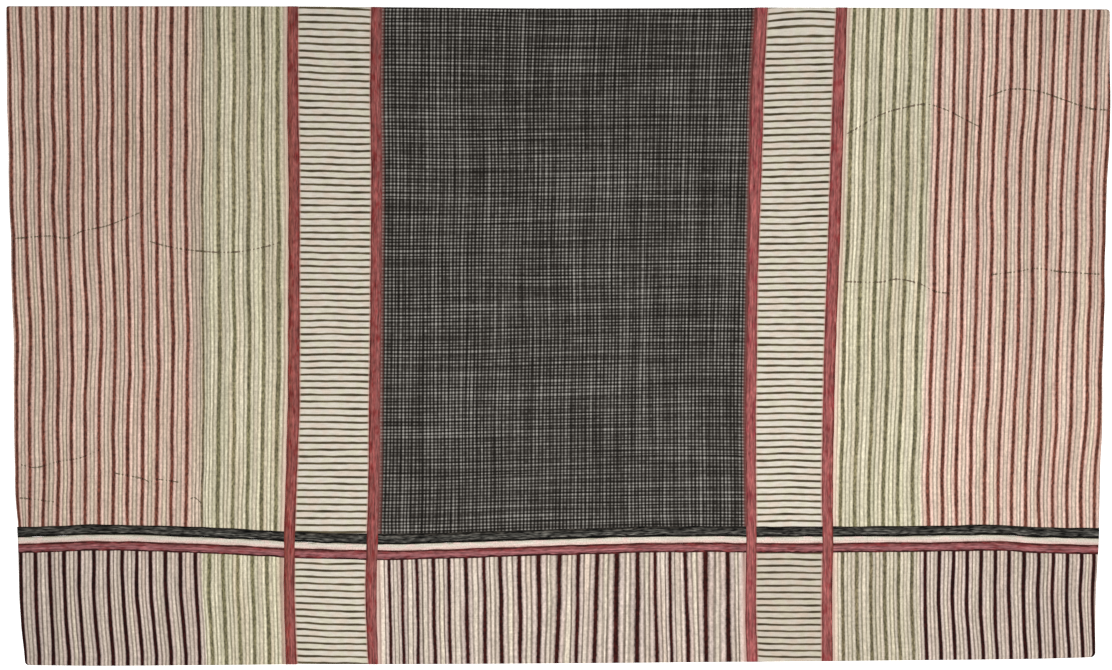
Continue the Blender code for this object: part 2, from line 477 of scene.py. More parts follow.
def smooth_curve(knots: np.ndarray, values: np.ndarray, places: np.ndarray) -> np.ndarray:
    """Read a smooth curve through knots at many places.

    Args:
        knots: The places of the knots, growing.
        values: The value at each knot, or an array of the places' shape at each knot.
        places: Where to read the curve.

    Returns:
        The curve's values, in the shape of the places.
    """
    last = len(knots) - 1
    numbers = np.arange(last + 1)
    before = np.maximum(numbers - 1, 0)
    after = np.minimum(numbers + 1, last)
    shape = (last + 1, *([1] * places.ndim))
    stacked = values if values.ndim > 1 else values.reshape(shape)
    widths = (knots[after] - knots[before]).reshape(shape)
    slopes = (stacked[after] - stacked[before]) / widths
    inside = np.clip(places, knots[0], knots[-1])
    index = np.clip(np.searchsorted(knots, inside, side="right") - 1, 0, last - 1)
    span = knots[index + 1] - knots[index]
    t = (inside - knots[index]) / span

    def pick(table: np.ndarray, step: int) -> np.ndarray:
        """Take the rows of a table at the knots before or after each place."""
        return np.take_along_axis(table, (index + step)[None], axis=0)[0]

    start = pick(stacked, 0) * (2 * t**3 - 3 * t**2 + 1)
    start = start + pick(slopes, 0) * span * (t**3 - 2 * t**2 + t)
    finish = pick(stacked, 1) * (3 * t**2 - 2 * t**3)
    return start + finish + pick(slopes, 1) * span * (t**3 - t**2)


def column_curve(rows: tuple, column: str, places: np.ndarray) -> np.ndarray:
    """Read one named column of a table along a smooth curve.

    Args:
        rows: The table, whose first column holds the places.
        column: The name of the column to read.
        places: Where to read it.

    Returns:
        The column's values at the places.
    """
    ordered = sorted(rows, key=lambda row: row[0])
    knots = np.array([row[0] for row in ordered])
    values = np.array([getattr(row, column) for row in ordered])
    return smooth_curve(knots, values, places)


def swell_height(across: np.ndarray, up: np.ndarray) -> np.ndarray:
    """Height of the cloth's underside over the surface, zero between the swells.

    Args:
        across: Places across the cloth, in millimetres.
        up: Places up the cloth, in millimetres.

    Returns:
        The height at each place, in millimetres.
    """
    total = np.zeros_like(across)
    for swell in SWELLS:
        turn = math.radians(swell.turn_degrees)
        east = across - swell.across
        north = up - swell.height_up
        along = (east * math.cos(turn) + north * math.sin(turn)) / swell.half_length
        aside = (north * math.cos(turn) - east * math.sin(turn)) / swell.half_width
        left = np.maximum(0.0, 1.0 - along**2 - aside**2)
        total += swell.rise * left**2
    return total


@dataclass(frozen=True)
class Unevenness:
    """Seeded smooth unevenness of handwork, from -1 to 1, in lumps of a given size."""

    seed: int
    cell_across: float
    cell_up: float
    columns: int = 97
    rows: int = 89

    def at(self, across: np.ndarray, up: np.ndarray) -> np.ndarray:
        """Read the unevenness at many places.

        Args:
            across: Places across, in the units of the cell.
            up: Places up, in the units of the cell.

        Returns:
            The unevenness at each place.
        """
        size = (self.columns, self.rows)
        lattice = np.random.default_rng(self.seed).uniform(-1.0, 1.0, size)
        x = across / self.cell_across + 41.0
        y = up / self.cell_up + 37.0
        column = np.floor(x).astype(int)
        row = np.floor(y).astype(int)
        s = x - column
        t = y - row
        s = s * s * (3.0 - 2.0 * s)
        t = t * t * (3.0 - 2.0 * t)
        left, right = column % self.columns, (column + 1) % self.columns
        low, high = row % self.rows, (row + 1) % self.rows
        near = lattice[left, low] * (1 - s) + lattice[right, low] * s
        far = lattice[left, high] * (1 - s) + lattice[right, high] * s
        return near * (1 - t) + far * t


def ripple_height(across: np.ndarray, up: np.ndarray) -> np.ndarray:
    """Small unevenness of the lengths' upper face, in millimetres."""
    fine = 0.12 * Unevenness(7, 19.0, 23.0).at(across, up)
    return fine + 0.1 * Unevenness(8, 41.0, 52.0).at(across, up) + 0.1


@dataclass(frozen=True)
class Line:
    """A crosswise line of the cloth, moved up by an offset in millimetres."""

    column: str
    offset: float = 0.0

    def at(self, across: np.ndarray) -> np.ndarray:
        """Height of the line at places across the cloth."""
        return column_curve(CROSSINGS, self.column, across) + self.offset


@dataclass
class Lay:
    """Where the grid of one sheet lies, as arrays of rows up the sheet, in millimetres."""

    across: np.ndarray
    up: np.ndarray
    under: np.ndarray
    over: np.ndarray
    weave: np.ndarray

    def flat_size(self) -> tuple[float, float, float]:
        """Work out the size that the sheet was cut to.

        Returns:
            Its width, its length and its flat area, in metres and square metres.
        """
        width = float((self.across[:, -1] - self.across[:, 0]).max())
        length = float((self.up[-1] - self.up[0]).max())
        one = np.stack([np.diff(self.across, axis=1)[:-1], np.diff(self.up, axis=1)[:-1]])
        two = np.stack([np.diff(self.across, axis=0)[:, :-1], np.diff(self.up, axis=0)[:, :-1]])
        area = float(np.abs(one[0] * two[1] - one[1] * two[0]).sum())
        area = min(area, width * length)
        return width * MILLIMETRE, length * MILLIMETRE, area * MILLIMETRE**2


def sew_sheet(name: str, lay: Lay) -> bpy.types.Object:
    """Make a closed sheet of cloth whose grid lies as planned.

    Args:
        name: The piece's name.
        lay: Where each point of its grid lies, and its weave coordinates.

    Returns:
        The new piece, at the origin.
    """
    rows, columns = lay.across.shape
    shape = bmesh.new()
    bmesh.ops.create_grid(shape, x_segments=columns - 1, y_segments=rows - 1, size=0.5)
    raised = bmesh.ops.extrude_face_region(shape, geom=shape.faces[:])
    top = [part for part in raised["geom"] if isinstance(part, bmesh.types.BMVert)]
    bmesh.ops.translate(shape, verts=top, vec=(0.0, 0.0, 1.0))
    bmesh.ops.recalc_face_normals(shape, faces=shape.faces[:])
    mesh = bpy.data.meshes.new(name)
    shape.to_mesh(mesh)
    shape.free()
    places = np.empty(len(mesh.vertices) * 3, dtype=np.float32)
    mesh.vertices.foreach_get("co", places)
    places = places.reshape(-1, 3)
    column = np.rint((places[:, 0] + 0.5) * (columns - 1)).astype(int)
    row = np.rint((places[:, 1] + 0.5) * (rows - 1)).astype(int)
    height = np.where(places[:, 2] > 0.5, lay.over[row, column], lay.under[row, column])
    laid = np.stack([lay.across[row, column], lay.up[row, column], height], axis=1)
    mesh.vertices.foreach_set("co", (laid * MILLIMETRE).astype(np.float32).ravel())
    weave = mesh.attributes.new("weave", "FLOAT_VECTOR", "POINT")
    weave.data.foreach_set("vector", lay.weave[row, column].astype(np.float32).ravel())
    mesh.shade_smooth()
    mesh.update()
    piece = bpy.data.objects.new(name, mesh)
    bpy.context.scene.collection.objects.link(piece)
    return piece


def edge_share(distance: np.ndarray, reach: float, least: float) -> np.ndarray:
    """Share of the thickness that is left near an edge, rounded over its reach.

    Args:
        distance: How far each place is from the edge, in millimetres.
        reach: Where the full thickness is reached, in millimetres.
        least: The share at the edge itself.

    Returns:
        The share at each place, from least to 1.
    """
    inside = np.clip(distance / reach, 0.0, 1.0)
    return least + (1.0 - least) * np.sqrt(np.maximum(0.0, 1.0 - (1.0 - inside) ** 2))


def stations(first: float, last: float, step: float, near_ends: tuple) -> np.ndarray:
    """Places of the grid lines: whole steps, the two ends, and a few lines near them.

    Args:
        first: The first place.
        last: The last place.
        step: The even step between them, counted from zero.
        near_ends: Distances from the ends that also get a line.

    Returns:
        The places in order, none closer together than a fifth of a step.
    """
    whole = np.arange(math.ceil(first / step), math.floor(last / step) + 1) * step
    ends = [first, last]
    ends += [first + gap for gap in near_ends]
    ends += [last - gap for gap in near_ends]
    fixed = np.array(sorted(ends))
    clear = np.abs(whole[:, None] - fixed[None, :]).min(axis=1) > step * 0.2
    return np.sort(np.concatenate([whole[clear], fixed]))


def fitted(counts: np.ndarray, first: np.ndarray, last: np.ndarray, reach: float) -> np.ndarray:
    """Stretch the two ends of a row of counts, so that it starts and stops where it should.

    Args:
        counts: The counts, in order.
        first: The count to start at, one for each row, as a column.
        last: The count to stop at, one for each row, as a column.
        reach: How many counts from an end are stretched.

    Returns:
        The counts of every row.
    """
    low = counts[0] + reach
    high = counts[-1] - reach
    below = np.minimum(counts - low, 0.0) / reach
    above = np.maximum(counts - high, 0.0) / reach
    middle = np.clip(counts, low, high)
    return middle + below * (low - first) + above * (last - high)


def repeat_rise(count: np.ndarray) -> np.ndarray:
    """Rise of the ribs over their grooves, at counts of the striped repeat."""
    ordered = [(mark.place, mark.rise) for mark in REPEAT] + [(1.0, REPEAT[0].rise)]
    ordered += [(0.125, 0.1), (0.875, 0.1)]
    knots, rises = np.array(sorted(ordered)).T
    return np.maximum(smooth_curve(knots, rises, np.mod(count, 1.0)), 0.0)


def turn_rise(count: np.ndarray) -> np.ndarray:
    """Rise of the finer ribs beside the dotted line, at counts from that line."""
    rib = next(mark.rise for mark in REPEAT if mark.tone is Tone.RIB)
    ordered = [(-0.5, rib), *((mark.place, mark.rise) for mark in TURN), (0.5, rib)]
    knots, rises = np.array(ordered).T
    return np.maximum(smooth_curve(knots, rises, count), 0.0)


@dataclass
class Weave:
    """A cotton material in the making, with the piece's weave coordinates at hand."""

    name: str
    material: bpy.types.Material = field(init=False)
    tree: bpy.types.NodeTree = field(init=False)
    shader: bpy.types.Node = field(init=False)
    place: bpy.types.NodeSocket = field(init=False)
    first: bpy.types.NodeSocket = field(init=False)
    second: bpy.types.NodeSocket = field(init=False)
    from_tape: bpy.types.NodeSocket = field(init=False)

    def __post_init__(self) -> None:
        """Start the material with its shader and its weave coordinates."""
        self.material = bpy.data.materials.new(self.name)
        self.material.use_nodes = True
        self.tree = self.material.node_tree
        self.shader = self.tree.nodes["Principled BSDF"]
        self.shader.inputs["Roughness"].default_value = 0.9
        self.shader.inputs["Specular IOR Level"].default_value = 0.08
        self.shader.inputs["Sheen Weight"].default_value = 0.02
        self.shader.inputs["Sheen Roughness"].default_value = 0.6
        self.place = self.add("Attribute", attribute_name="weave").outputs["Vector"]
        self.first, self.second, self.from_tape = self.add("SeparateXYZ", self.place).outputs

    def add(
        self, kind: str, *inputs: object, stops: tuple = (), **settings: object
    ) -> bpy.types.Node:
        """Add a node with its settings, its inputs' values or links, and its ramp's stops.

        Args:
            kind: The node's type, without the leading "ShaderNode".
            *inputs: Numbers, hex colours, sockets or nodes for its open inputs, in order.
            stops: Places from 0 to 1 with their hex colours, for a ramp.
            **settings: The node's own settings.

        Returns:
            The new node.
        """
        node = self.tree.nodes.new(f"ShaderNode{kind}")
        for name, value in settings.items():
            setattr(node, name, value)
        open_inputs = [socket for socket in node.inputs if socket.enabled]
        for socket, value in zip(open_inputs, inputs):
            if isinstance(value, bpy.types.Node):
                value = next(one for one in value.outputs if one.enabled)
            if isinstance(value, bpy.types.NodeSocket):
                self.tree.links.new(value, socket)
            else:
                socket.default_value = linear(value) if isinstance(value, str) else value
        for number, (place, colour) in enumerate(stops):
            elements = node.color_ramp.elements
            stop = elements[number] if number < len(elements) else elements.new(place)
            stop.position = place
            stop.color = linear(colour)
        return node

    def uneven(self, across: float, along: float, seed: float, detail: float = 1.0) -> bpy.types.Node:
        """Unevenness from 0 to 1 in lumps of a given size.

        Args:
            across: The lumps' size along the first weave coordinate, in its units.
            along: Their size along the second.
            seed: Which part of the noise is used.
            detail: How many finer layers are added.

        Returns:
            The noise node.
        """
        cell = (1 / across, 1 / along, 0.0)
        corner = (seed, seed * 1.7, 0.0)
        moved = self.add("VectorMath", self.place, cell, corner, operation="MULTIPLY_ADD")
        return self.add("TexNoise", moved, 1.0, detail, noise_dimensions="2D")

    def by_thread(self, thread: object, along: object, length: float, seed: float) -> bpy.types.Node:
        """Unevenness that is a thread's own and changes slowly along it.

        Args:
            thread: The number of the thread.
            along: The place along it.
            length: How long one lump is, in the units of the place.
            seed: Which part of the noise is used.

        Returns:
            The noise node.
        """
        own = self.add("Math", thread, 7.31, seed, operation="MULTIPLY_ADD")
        slow = self.add("Math", along, length, operation="DIVIDE")
        place = self.add("CombineXYZ", own, slow)
        return self.add("TexNoise", place, 1.0, 1.0, noise_dimensions="2D")

    def from_middle(self, cell: object) -> bpy.types.Node:
        """How far a place is from the middle of its cell, from 0 to a half."""
        share = self.add("Math", cell, operation="FRACT")
        centred = self.add("Math", share, 0.5, operation="SUBTRACT")
        return self.add("Math", centred, operation="ABSOLUTE")

    def brighten(self, colour: object, unevenness: object, amount: object) -> bpy.types.Node:
        """Make a colour lighter and darker by an unevenness.

        Args:
            colour: The colour.
            unevenness: Noise from 0 to 1, which leaves the colour as it is at a half.
            amount: How much brighter the colour is at 1 than at 0.

        Returns:
            The brightened colour's node.
        """
        centred = self.add("Math", unevenness, 0.5, operation="SUBTRACT")
        value = self.add("Math", centred, amount, 1.0, operation="MULTIPLY_ADD")
        return self.add("HueSaturation", 0.5, 1.0, value, 1.0, colour)

    def blush(self, colour: object, tint: str, reach: float, share: float) -> bpy.types.Node:
        """Let a tape's dye stain the cloth beside it.

        Args:
            colour: The cloth's colour.
            tint: The stained colour.
            reach: How far the stain goes, in millimetres.
            share: How much of the stained colour shows right beside the tape.

        Returns:
            The stained colour's node.
        """
        stain = self.add("MapRange", self.from_tape, 0.0, reach, share, 0.0)
        return self.add("Mix", stain, colour, tint, data_type="RGBA")

    def finish(self, colour: bpy.types.Node, height: object, depth: float) -> bpy.types.Material:
        """Join the colour and the fine relief to the shader.

        Args:
            colour: The cloth's colour.
            height: Its fine relief, from 0 to 1.
            depth: How deep the relief is, in millimetres.

        Returns:
            The finished material.
        """
        bump = self.add("Bump", 1.0, depth * MILLIMETRE, 0.1, height)
        shown = next(socket for socket in colour.outputs if socket.enabled)
        self.tree.links.new(shown, self.shader.inputs["Base Color"])
        self.tree.links.new(bump.outputs["Normal"], self.shader.inputs["Normal"])
        return self.material


@dataclass(frozen=True)
class Colourway:
    """The yarns of one striped zone, as sRGB hex values, and its dark stripe's half width.

    The mottle says how much the dark stripe's yarns go lighter and darker along it.
    """

    stripe: str
    flank: str
    groove: str
    rib: str
    stripe_half: float
    mottle: float

    def stops(self) -> tuple[tuple[float, str], ...]:
        """Chart the repeat's colours, with the dark stripe in the middle.

        Returns:
            Stops of a ramp over one repeat, in order.
        """
        found = []
        for mark in REPEAT:
            half = self.stripe_half if mark.tone is Tone.STRIPE else mark.half_width
            middle = (mark.place + 0.5) % 1.0
            for place in (middle - half, middle + half):
                found.append((place % 1.0, getattr(self, mark.tone.value)))
        found += [(0.0, self.rib), (1.0, self.rib)]
        return tuple(sorted(found))


@dataclass(frozen=True)
class StripedCotton:
    """Ribbed handwoven cotton in stripes of dyed yarn.

    Thick and thin hand-spun yarns lie in ribs along the length: to the eye, soft upright
    lines of uneven width, mottled along each yarn, with darker grooves between them.
    """

    name: str
    left: Colourway
    right: Colourway
    turn: float
    dotted: str = ""
    swell: float = 0.36
    dark_reach: float = 0.13
    dotted_reach: float = 0.045

    def material(self) -> bpy.types.Material:
        """Make the finish.

        Returns:
            The material.
        """
        weave = Weave(self.name)
        drift = weave.uneven(0.3, 45.0, 3.1, 2.0)
        moved = weave.add("Math", drift, 0.06, weave.first, operation="MULTIPLY_ADD")
        shifted = weave.add("Math", moved, 0.47, operation="ADD")
        zone = weave.add("Math", shifted, self.turn + 0.5, operation="GREATER_THAN")
        phase = self.swollen_phase(weave, shifted)
        reach = self.dark_reach
        if self.dotted:
            near = weave.add("Math", shifted, self.turn + 0.5, 0.5, operation="COMPARE")
            reach = weave.add("Mix", near, self.dark_reach, self.dotted_reach)
        dark = weave.add("Math", phase, 0.5, reach, operation="COMPARE")
        left = weave.add("ValToRGB", phase, stops=self.left.stops())
        right = weave.add("ValToRGB", phase, stops=self.right.stops())
        colour = weave.add("Mix", zone, left, right, data_type="RGBA")
        colour = self.fill_grooves(weave, colour, shifted, zone)
        if self.dotted:
            turn = weave.add("ValToRGB", phase, stops=self.turn_stops())
            colour = weave.add("Mix", near, colour, turn, data_type="RGBA")
        colour = self.vary_yarns(weave, colour, shifted, dark)
        strength = weave.add("Mix", zone, self.left.mottle, self.right.mottle)
        mottle = weave.uneven(0.12, 3.6, 12.7, 2.0)
        amount = weave.add("Math", dark, strength, 0.8, operation="MULTIPLY_ADD")
        colour = weave.brighten(colour, mottle, amount)
        weft = weave.uneven(0.6, 1.25, 21.0)
        colour = weave.brighten(colour, weft, 0.22)
        colour = weave.blush(colour, "#C4A296", 6.0, 0.75)
        height = weave.add("Math", mottle, 0.6, weft, operation="MULTIPLY_ADD")
        return weave.finish(colour, height, 0.16)

    def swollen_phase(self, weave: Weave, count: object) -> bpy.types.Node:
        """Place in the repeat, with each stripe a little wider or narrower than the next.

        Args:
            weave: The material in the making.
            count: The count of the repeat.

        Returns:
            The place, from 0 to 1, with the dark stripe at a half.
        """
        stripe = weave.add("Math", count, operation="FLOOR")
        own = weave.by_thread(stripe, weave.second, 600.0, 14.2)
        narrow = weave.add("Math", own, self.swell, 1.0 - self.swell / 2, operation="MULTIPLY_ADD")
        aside = weave.add("Math", weave.add("Math", count, operation="FRACT"), 0.5, operation="SUBTRACT")
        return weave.add("Math", aside, narrow, 0.5, operation="MULTIPLY_ADD")

    def turn_stops(self) -> tuple[tuple[float, str], ...]:
        """Chart the colours beside the dotted line, with the line in the middle.

        Returns:
            Stops of a ramp over one repeat, in order.
        """
        found = [(0.0, self.left.rib), (0.04, self.left.rib)]
        for mark in TURN:
            side = self.left if mark.place < 0.0 else self.right
            colour = self.dotted if mark.tone is Tone.DOTTED else getattr(side, mark.tone.value)
            middle = mark.place + 0.5
            found += [(middle - mark.half_width, colour), (middle + mark.half_width, colour)]
        return (*found, (0.99, self.right.rib))

    def fill_grooves(self, weave: Weave, colour: object, count: object, zone: object) -> bpy.types.Node:
        """Let the ribs close over some of their grooves.

        Args:
            weave: The material in the making.
            colour: The stripes' colour.
            count: The count of the repeat.
            zone: 0 in the left colourway and 1 in the right one.

        Returns:
            The colour with some grooves filled.
        """
        quarter = weave.add("Math", count, 4.0, operation="MULTIPLY")
        groove = weave.add("Math", quarter, operation="FLOOR")
        notch = weave.add("MapRange", weave.from_middle(quarter), 0.06, 0.3, 1.0, 0.0)
        pale_half = weave.add("Math", weave.from_middle(count), 0.22, operation="GREATER_THAN")
        notch = weave.add("Math", notch, pale_half, operation="MULTIPLY")
        closed = weave.by_thread(groove, weave.second, 260.0, 9.4)
        filled = weave.add("MapRange", closed, 0.36, 0.64, 0.05, 0.45)
        share = weave.add("Math", notch, filled, operation="MULTIPLY")
        pale = weave.add("Mix", zone, self.left.rib, self.right.rib, data_type="RGBA")
        return weave.add("Mix", share, colour, pale, data_type="RGBA")

    def vary_yarns(self, weave: Weave, colour: object, count: object, dark: object) -> bpy.types.Node:
        """Give each rib's yarns a dye of their own, and each stripe darker and lighter yarns.

        Args:
            weave: The material in the making.
            colour: The stripes' colour.
            count: The count of the repeat.
            dark: 1 in a dark stripe and 0 beside it.

        Returns:
            The varied colour.
        """
        rib = weave.add("Math", count, 4.0, 0.5, operation="MULTIPLY_ADD")
        rib = weave.add("Math", rib, operation="FLOOR")
        dye = weave.by_thread(rib, weave.second, 150.0, 1.7)
        tints = ((0.3, "#FFF2EC"), (0.5, "#FFFFFF"), (0.7, "#F6FAEC"))
        tint = weave.add("ValToRGB", dye, stops=tints)
        colour = weave.add("Mix", 0.45, colour, tint, data_type="RGBA", blend_type="MULTIPLY")
        own = weave.by_thread(rib, weave.second, 300.0, 5.3)
        colour = weave.brighten(colour, own, 0.6)
        slow = weave.add("Math", dark, 0.6, 0.34, operation="MULTIPLY_ADD")
        colour = weave.brighten(colour, weave.by_thread(rib, weave.second, 17.0, 8.8), slow)
        yarns = weave.uneven(0.075, 110.0, 27.0)
        amount = weave.add("Math", dark, 0.7, 0.4, operation="MULTIPLY_ADD")
        return weave.brighten(colour, yarns, amount)


@dataclass(frozen=True)
class BarredCotton:
    """Cream handwoven cotton with thin bars of dark yarn across it.

    Fine crosswise threads show between the bars, and each bar is one or two hand-spun
    yarns: to the eye, dark lines that swell, thin and fade along their way.
    """

    name: str
    ground: str
    bar: str
    pale_bar: str

    def material(self) -> bpy.types.Material:
        """Make the finish.

        Returns:
            The material.
        """
        weave = Weave(self.name)
        drift = weave.uneven(14.0, 0.8, 4.4)
        shifted = weave.add("Math", drift, 0.12, weave.second, operation="MULTIPLY_ADD")
        shifted = weave.add("Math", shifted, 0.44, operation="ADD")
        number = weave.add("Math", shifted, operation="FLOOR")
        own = weave.by_thread(number, weave.first, 26.0, 2.2)
        bar = weave.add("Mix", own, self.bar, self.pale_bar, data_type="RGBA")
        swollen = weave.add("Math", own, -0.08, 0.2, operation="MULTIPLY_ADD")
        edge = weave.add("Math", swollen, weave.from_middle(shifted), operation="SUBTRACT")
        mask = weave.add("MapRange", edge, -0.05, 0.04, 0.0, 1.0)
        threads = weave.uneven(9.0, 0.16, 9.0, 2.0)
        ground = weave.brighten(linear(self.ground), threads, 0.4)
        patches = weave.uneven(14.0, 2.1, 15.0)
        tints = ((0.35, "#FFF8F4"), (0.5, "#FFFFFF"), (0.66, "#FBFDF4"))
        tint = weave.add("ValToRGB", patches, stops=tints)
        ground = weave.add("Mix", 1.0, ground, tint, data_type="RGBA", blend_type="MULTIPLY")
        colour = weave.add("Mix", mask, ground, bar, data_type="RGBA")
        colour = weave.brighten(colour, weave.uneven(1.1, 0.3, 31.0), 0.16)
        colour = weave.blush(colour, "#A87C72", 2.0, 0.75)
        height = weave.add("Math", mask, 0.5, threads, operation="MULTIPLY_ADD")
        return weave.finish(colour, height, 0.16)


@dataclass(frozen=True)
class CheckedCotton:
    """Charcoal handwoven cotton with a fine check of grey yarn both ways.

    Grey yarns of uneven width and spacing lie between black ones both ways: to the eye, a
    dark grid of grey lines, lit to small dots where two of them cross, and brighter yarn
    by yarn.
    """

    name: str
    black: str
    ground: str
    line: str
    dot: str

    def material(self) -> bpy.types.Material:
        """Make the finish.

        Returns:
            The material.
        """
        weave = Weave(self.name)
        warp = self.yarn(weave, weave.first, weave.second, 0.72, 1.3)
        weft = self.yarn(weave, weave.second, weave.first, 0.54, 6.9)
        crossing = weave.add("Math", warp, weft, operation="MINIMUM")
        together = weave.add("Math", warp, weft, operation="ADD")
        level = weave.add("Math", crossing, 0.9, together, operation="MULTIPLY_ADD")
        level = weave.add("Math", level, 0.36, 0.2, operation="MULTIPLY_ADD")
        stops = ((0.0, self.black), (0.2, self.ground), (0.42, self.line), (1.0, self.dot))
        colour = weave.add("ValToRGB", level, stops=stops)
        colour = weave.brighten(colour, weave.uneven(0.3, 0.3, 3.0), 0.5)
        colour = weave.blush(colour, "#7C4843", 4.0, 0.65)
        return weave.finish(colour, level, 0.2)

    def yarn(
        self, weave: Weave, across: object, along: object, show: float, seed: float
    ) -> bpy.types.Node:
        """How strongly the grey yarns of one direction show, and the black ones between them.

        Args:
            weave: The material in the making.
            across: The count of the yarns.
            along: The place along them.
            show: How strongly an ordinary yarn shows.
            seed: Which part of the noise is used.

        Returns:
            A node with up to 1 on the grey yarns, and below 0 on the black ones.
        """
        crowding = weave.add("Math", across, 0.11, operation="MULTIPLY")
        crowding = weave.by_thread(crowding, along, 60.0, seed + 60.0)
        across = weave.add("Math", crowding, 0.5, across, operation="MULTIPLY_ADD")
        shifted = weave.add("Math", across, 0.5, operation="ADD")
        number = weave.add("Math", shifted, operation="FLOOR")
        own = weave.by_thread(number, along, 34.0, seed)
        reach = weave.add("Math", own, 0.26, 0.14, operation="MULTIPLY_ADD")
        body = weave.add("MapRange", weave.from_middle(shifted), 0.07, reach, 1.0, 0.0)
        own = weave.add("Math", own, 1.5, show - 0.75, operation="MULTIPLY_ADD")
        short = weave.by_thread(number, along, 1.3, seed + 20.0)
        strength = weave.add("Math", short, 0.9, own, operation="MULTIPLY_ADD")
        strength = weave.add("Math", strength, 0.45, operation="SUBTRACT")
        strength = weave.add("Math", strength, 0.1, operation="MAXIMUM")
        black = weave.add("MapRange", weave.from_middle(across), 0.0, 0.2, 1.0, 0.0)
        depth = weave.by_thread(weave.add("Math", across, operation="FLOOR"), along, 22.0, seed + 40.0)
        depth = weave.add("MapRange", depth, 0.35, 0.75, -0.1, -0.6)
        dark = weave.add("Math", black, depth, operation="MULTIPLY")
        return weave.add("Math", body, strength, dark, operation="MULTIPLY_ADD")


@dataclass(frozen=True)
class StripCotton:
    """A narrow handwoven strip whose yarns run along it, darker along both sides, on the cream band
    partly as painted shade.

    Unevenly dyed yarns lie side by side: to the eye, streaks that come and go along the
    strip, a mottle of small flecks, and a ragged dark line along each side. The five
    yarns are named from the strip's left or lower side.
    """

    name: str
    yarns: tuple[str, str, str, str, str]
    width: float
    edge: float
    seed: float
    spot: str
    streak: float = 1.8
    fleck: float = 1.4
    fleck_length: float = 6.5

    def stops(self) -> tuple[tuple[float, str], ...]:
        """Chart the five yarns over the strip's width.

        Returns:
            Stops of a ramp, in order.
        """
        spans = (
            (0.0, self.edge),
            (self.edge + 0.07, 0.36),
            (0.45, 0.57),
            (0.66, 0.93 - self.edge),
            (1.0 - self.edge, 1.0),
        )
        return tuple((place, yarn) for span, yarn in zip(spans, self.yarns) for place in span)

    def material(self) -> bpy.types.Material:
        """Make the finish.

        Returns:
            The material.
        """
        weave = Weave(self.name)
        wander = weave.uneven(2.6, 11.0, self.seed, 2.0)
        moved = weave.add("Math", wander, 0.3, 0.35, operation="MULTIPLY_ADD")
        place = weave.add("Math", weave.first, 1.0 / self.width, moved, operation="MULTIPLY_ADD")
        colour = weave.add("ValToRGB", place, stops=self.stops())
        spots = weave.uneven(5.0, 13.0, self.seed + 31.0, 2.0)
        share = weave.add("MapRange", spots, 0.53, 0.7, 0.0, 0.7)
        colour = weave.add("Mix", share, colour, self.spot, data_type="RGBA")
        streaks = weave.uneven(1.5, 30.0, self.seed + 2.9, 2.0)
        colour = weave.brighten(colour, streaks, self.streak)
        flecks = weave.uneven(1.2, self.fleck_length, self.seed + 17.0, 2.0)
        colour = weave.brighten(colour, flecks, self.fleck)
        threads = weave.uneven(0.62, 14.0, 33.0)
        height = weave.add("Math", threads, flecks, operation="ADD")
        return weave.finish(colour, height, 0.2)


@dataclass(frozen=True)
class SpunYarn:
    """A thin brownish hand-spun yarn: to the eye, a dull broken line, darker over the stripes."""

    name: str
    colour: str
    over_red: str
    over_green: str

    def material(self) -> bpy.types.Material:
        """Make the finish.

        Returns:
            The material.
        """
        weave = Weave(self.name)
        over = weave.add("Mix", weave.from_tape, self.over_red, self.over_green, data_type="RGBA")
        colour = weave.add("Mix", weave.second, self.colour, over, data_type="RGBA")
        lumps = weave.uneven(1.6, 1.0, 3.3, 2.0)
        return weave.finish(weave.brighten(colour, lumps, 0.9), lumps, 0.1)


def stripe_waver(count: np.ndarray, up: np.ndarray, seed: int) -> np.ndarray:
    """How far the stripes waver aside: neighbours together, each alone, and each rib.

    Args:
        count: Counts of the repeat.
        up: Heights on the cloth, in the same shape.
        seed: The seed of the unevenness.

    Returns:
        The distance at each place, in millimetres.
    """
    together = 0.75 * Unevenness(seed, 3.1, 47.0).at(count, up)
    alone = 0.42 * Unevenness(seed + 2, 1.0, 33.0).at(count, up)
    return together + alone + 0.12 * Unevenness(seed + 1, 0.27, 15.0).at(count, up)


@dataclass(frozen=True)
class StripeFan:
    """Upright stripes of one side length, counted in repeats from its first stripe."""

    rows: tuple
    counts: tuple[float, ...]
    tape: str
    tape_count: float
    edge: Side
    pitch: float
    seed: int

    def across(self, count: np.ndarray, up: np.ndarray) -> np.ndarray:
        """Where the counts stand across the cloth.

        Args:
            count: Counts of the repeat.
            up: Heights on the cloth, in the same shape.

        Returns:
            Places across, in millimetres.
        """
        columns = self.rows[0]._fields[1:]
        lines = [column_curve(self.rows, column, up) for column in columns]
        tape = column_curve(UPRIGHTS, self.tape, up)
        if self.edge is Side.LEFT:
            lines = [lines[0] - self.pitch, *lines, tape]
            counts = (self.counts[0] - 1, *self.counts, self.tape_count)
        else:
            lines = [tape, *lines, lines[-1] + self.pitch]
            counts = (self.tape_count, *self.counts, self.counts[-1] + 1)
        place = smooth_curve(np.array(counts), np.stack(lines), count)
        loose = np.clip(np.abs(count - self.tape_count), 0.0, 1.0)
        return place + stripe_waver(count, up, self.seed) * loose

    def edge_count(self, up: np.ndarray) -> np.ndarray:
        """The count at which the length's outer edge cuts the repeat.

        Args:
            up: Heights on the cloth.

        Returns:
            The count at each height.
        """
        edge = column_curve(UPRIGHTS, self.edge.value, up)
        columns = self.rows[0]._fields
        if self.edge is Side.LEFT:
            return self.counts[0] + (edge - column_curve(self.rows, columns[1], up)) / self.pitch
        return self.counts[-1] + (edge - column_curve(self.rows, columns[-1], up)) / self.pitch

    def end_counts(self, up: np.ndarray) -> tuple[np.ndarray, np.ndarray]:
        """First and last count of the length at each height."""
        tape = np.full_like(up, self.tape_count)
        edge = self.edge_count(up)
        return (edge, tape) if self.edge is Side.LEFT else (tape, edge)


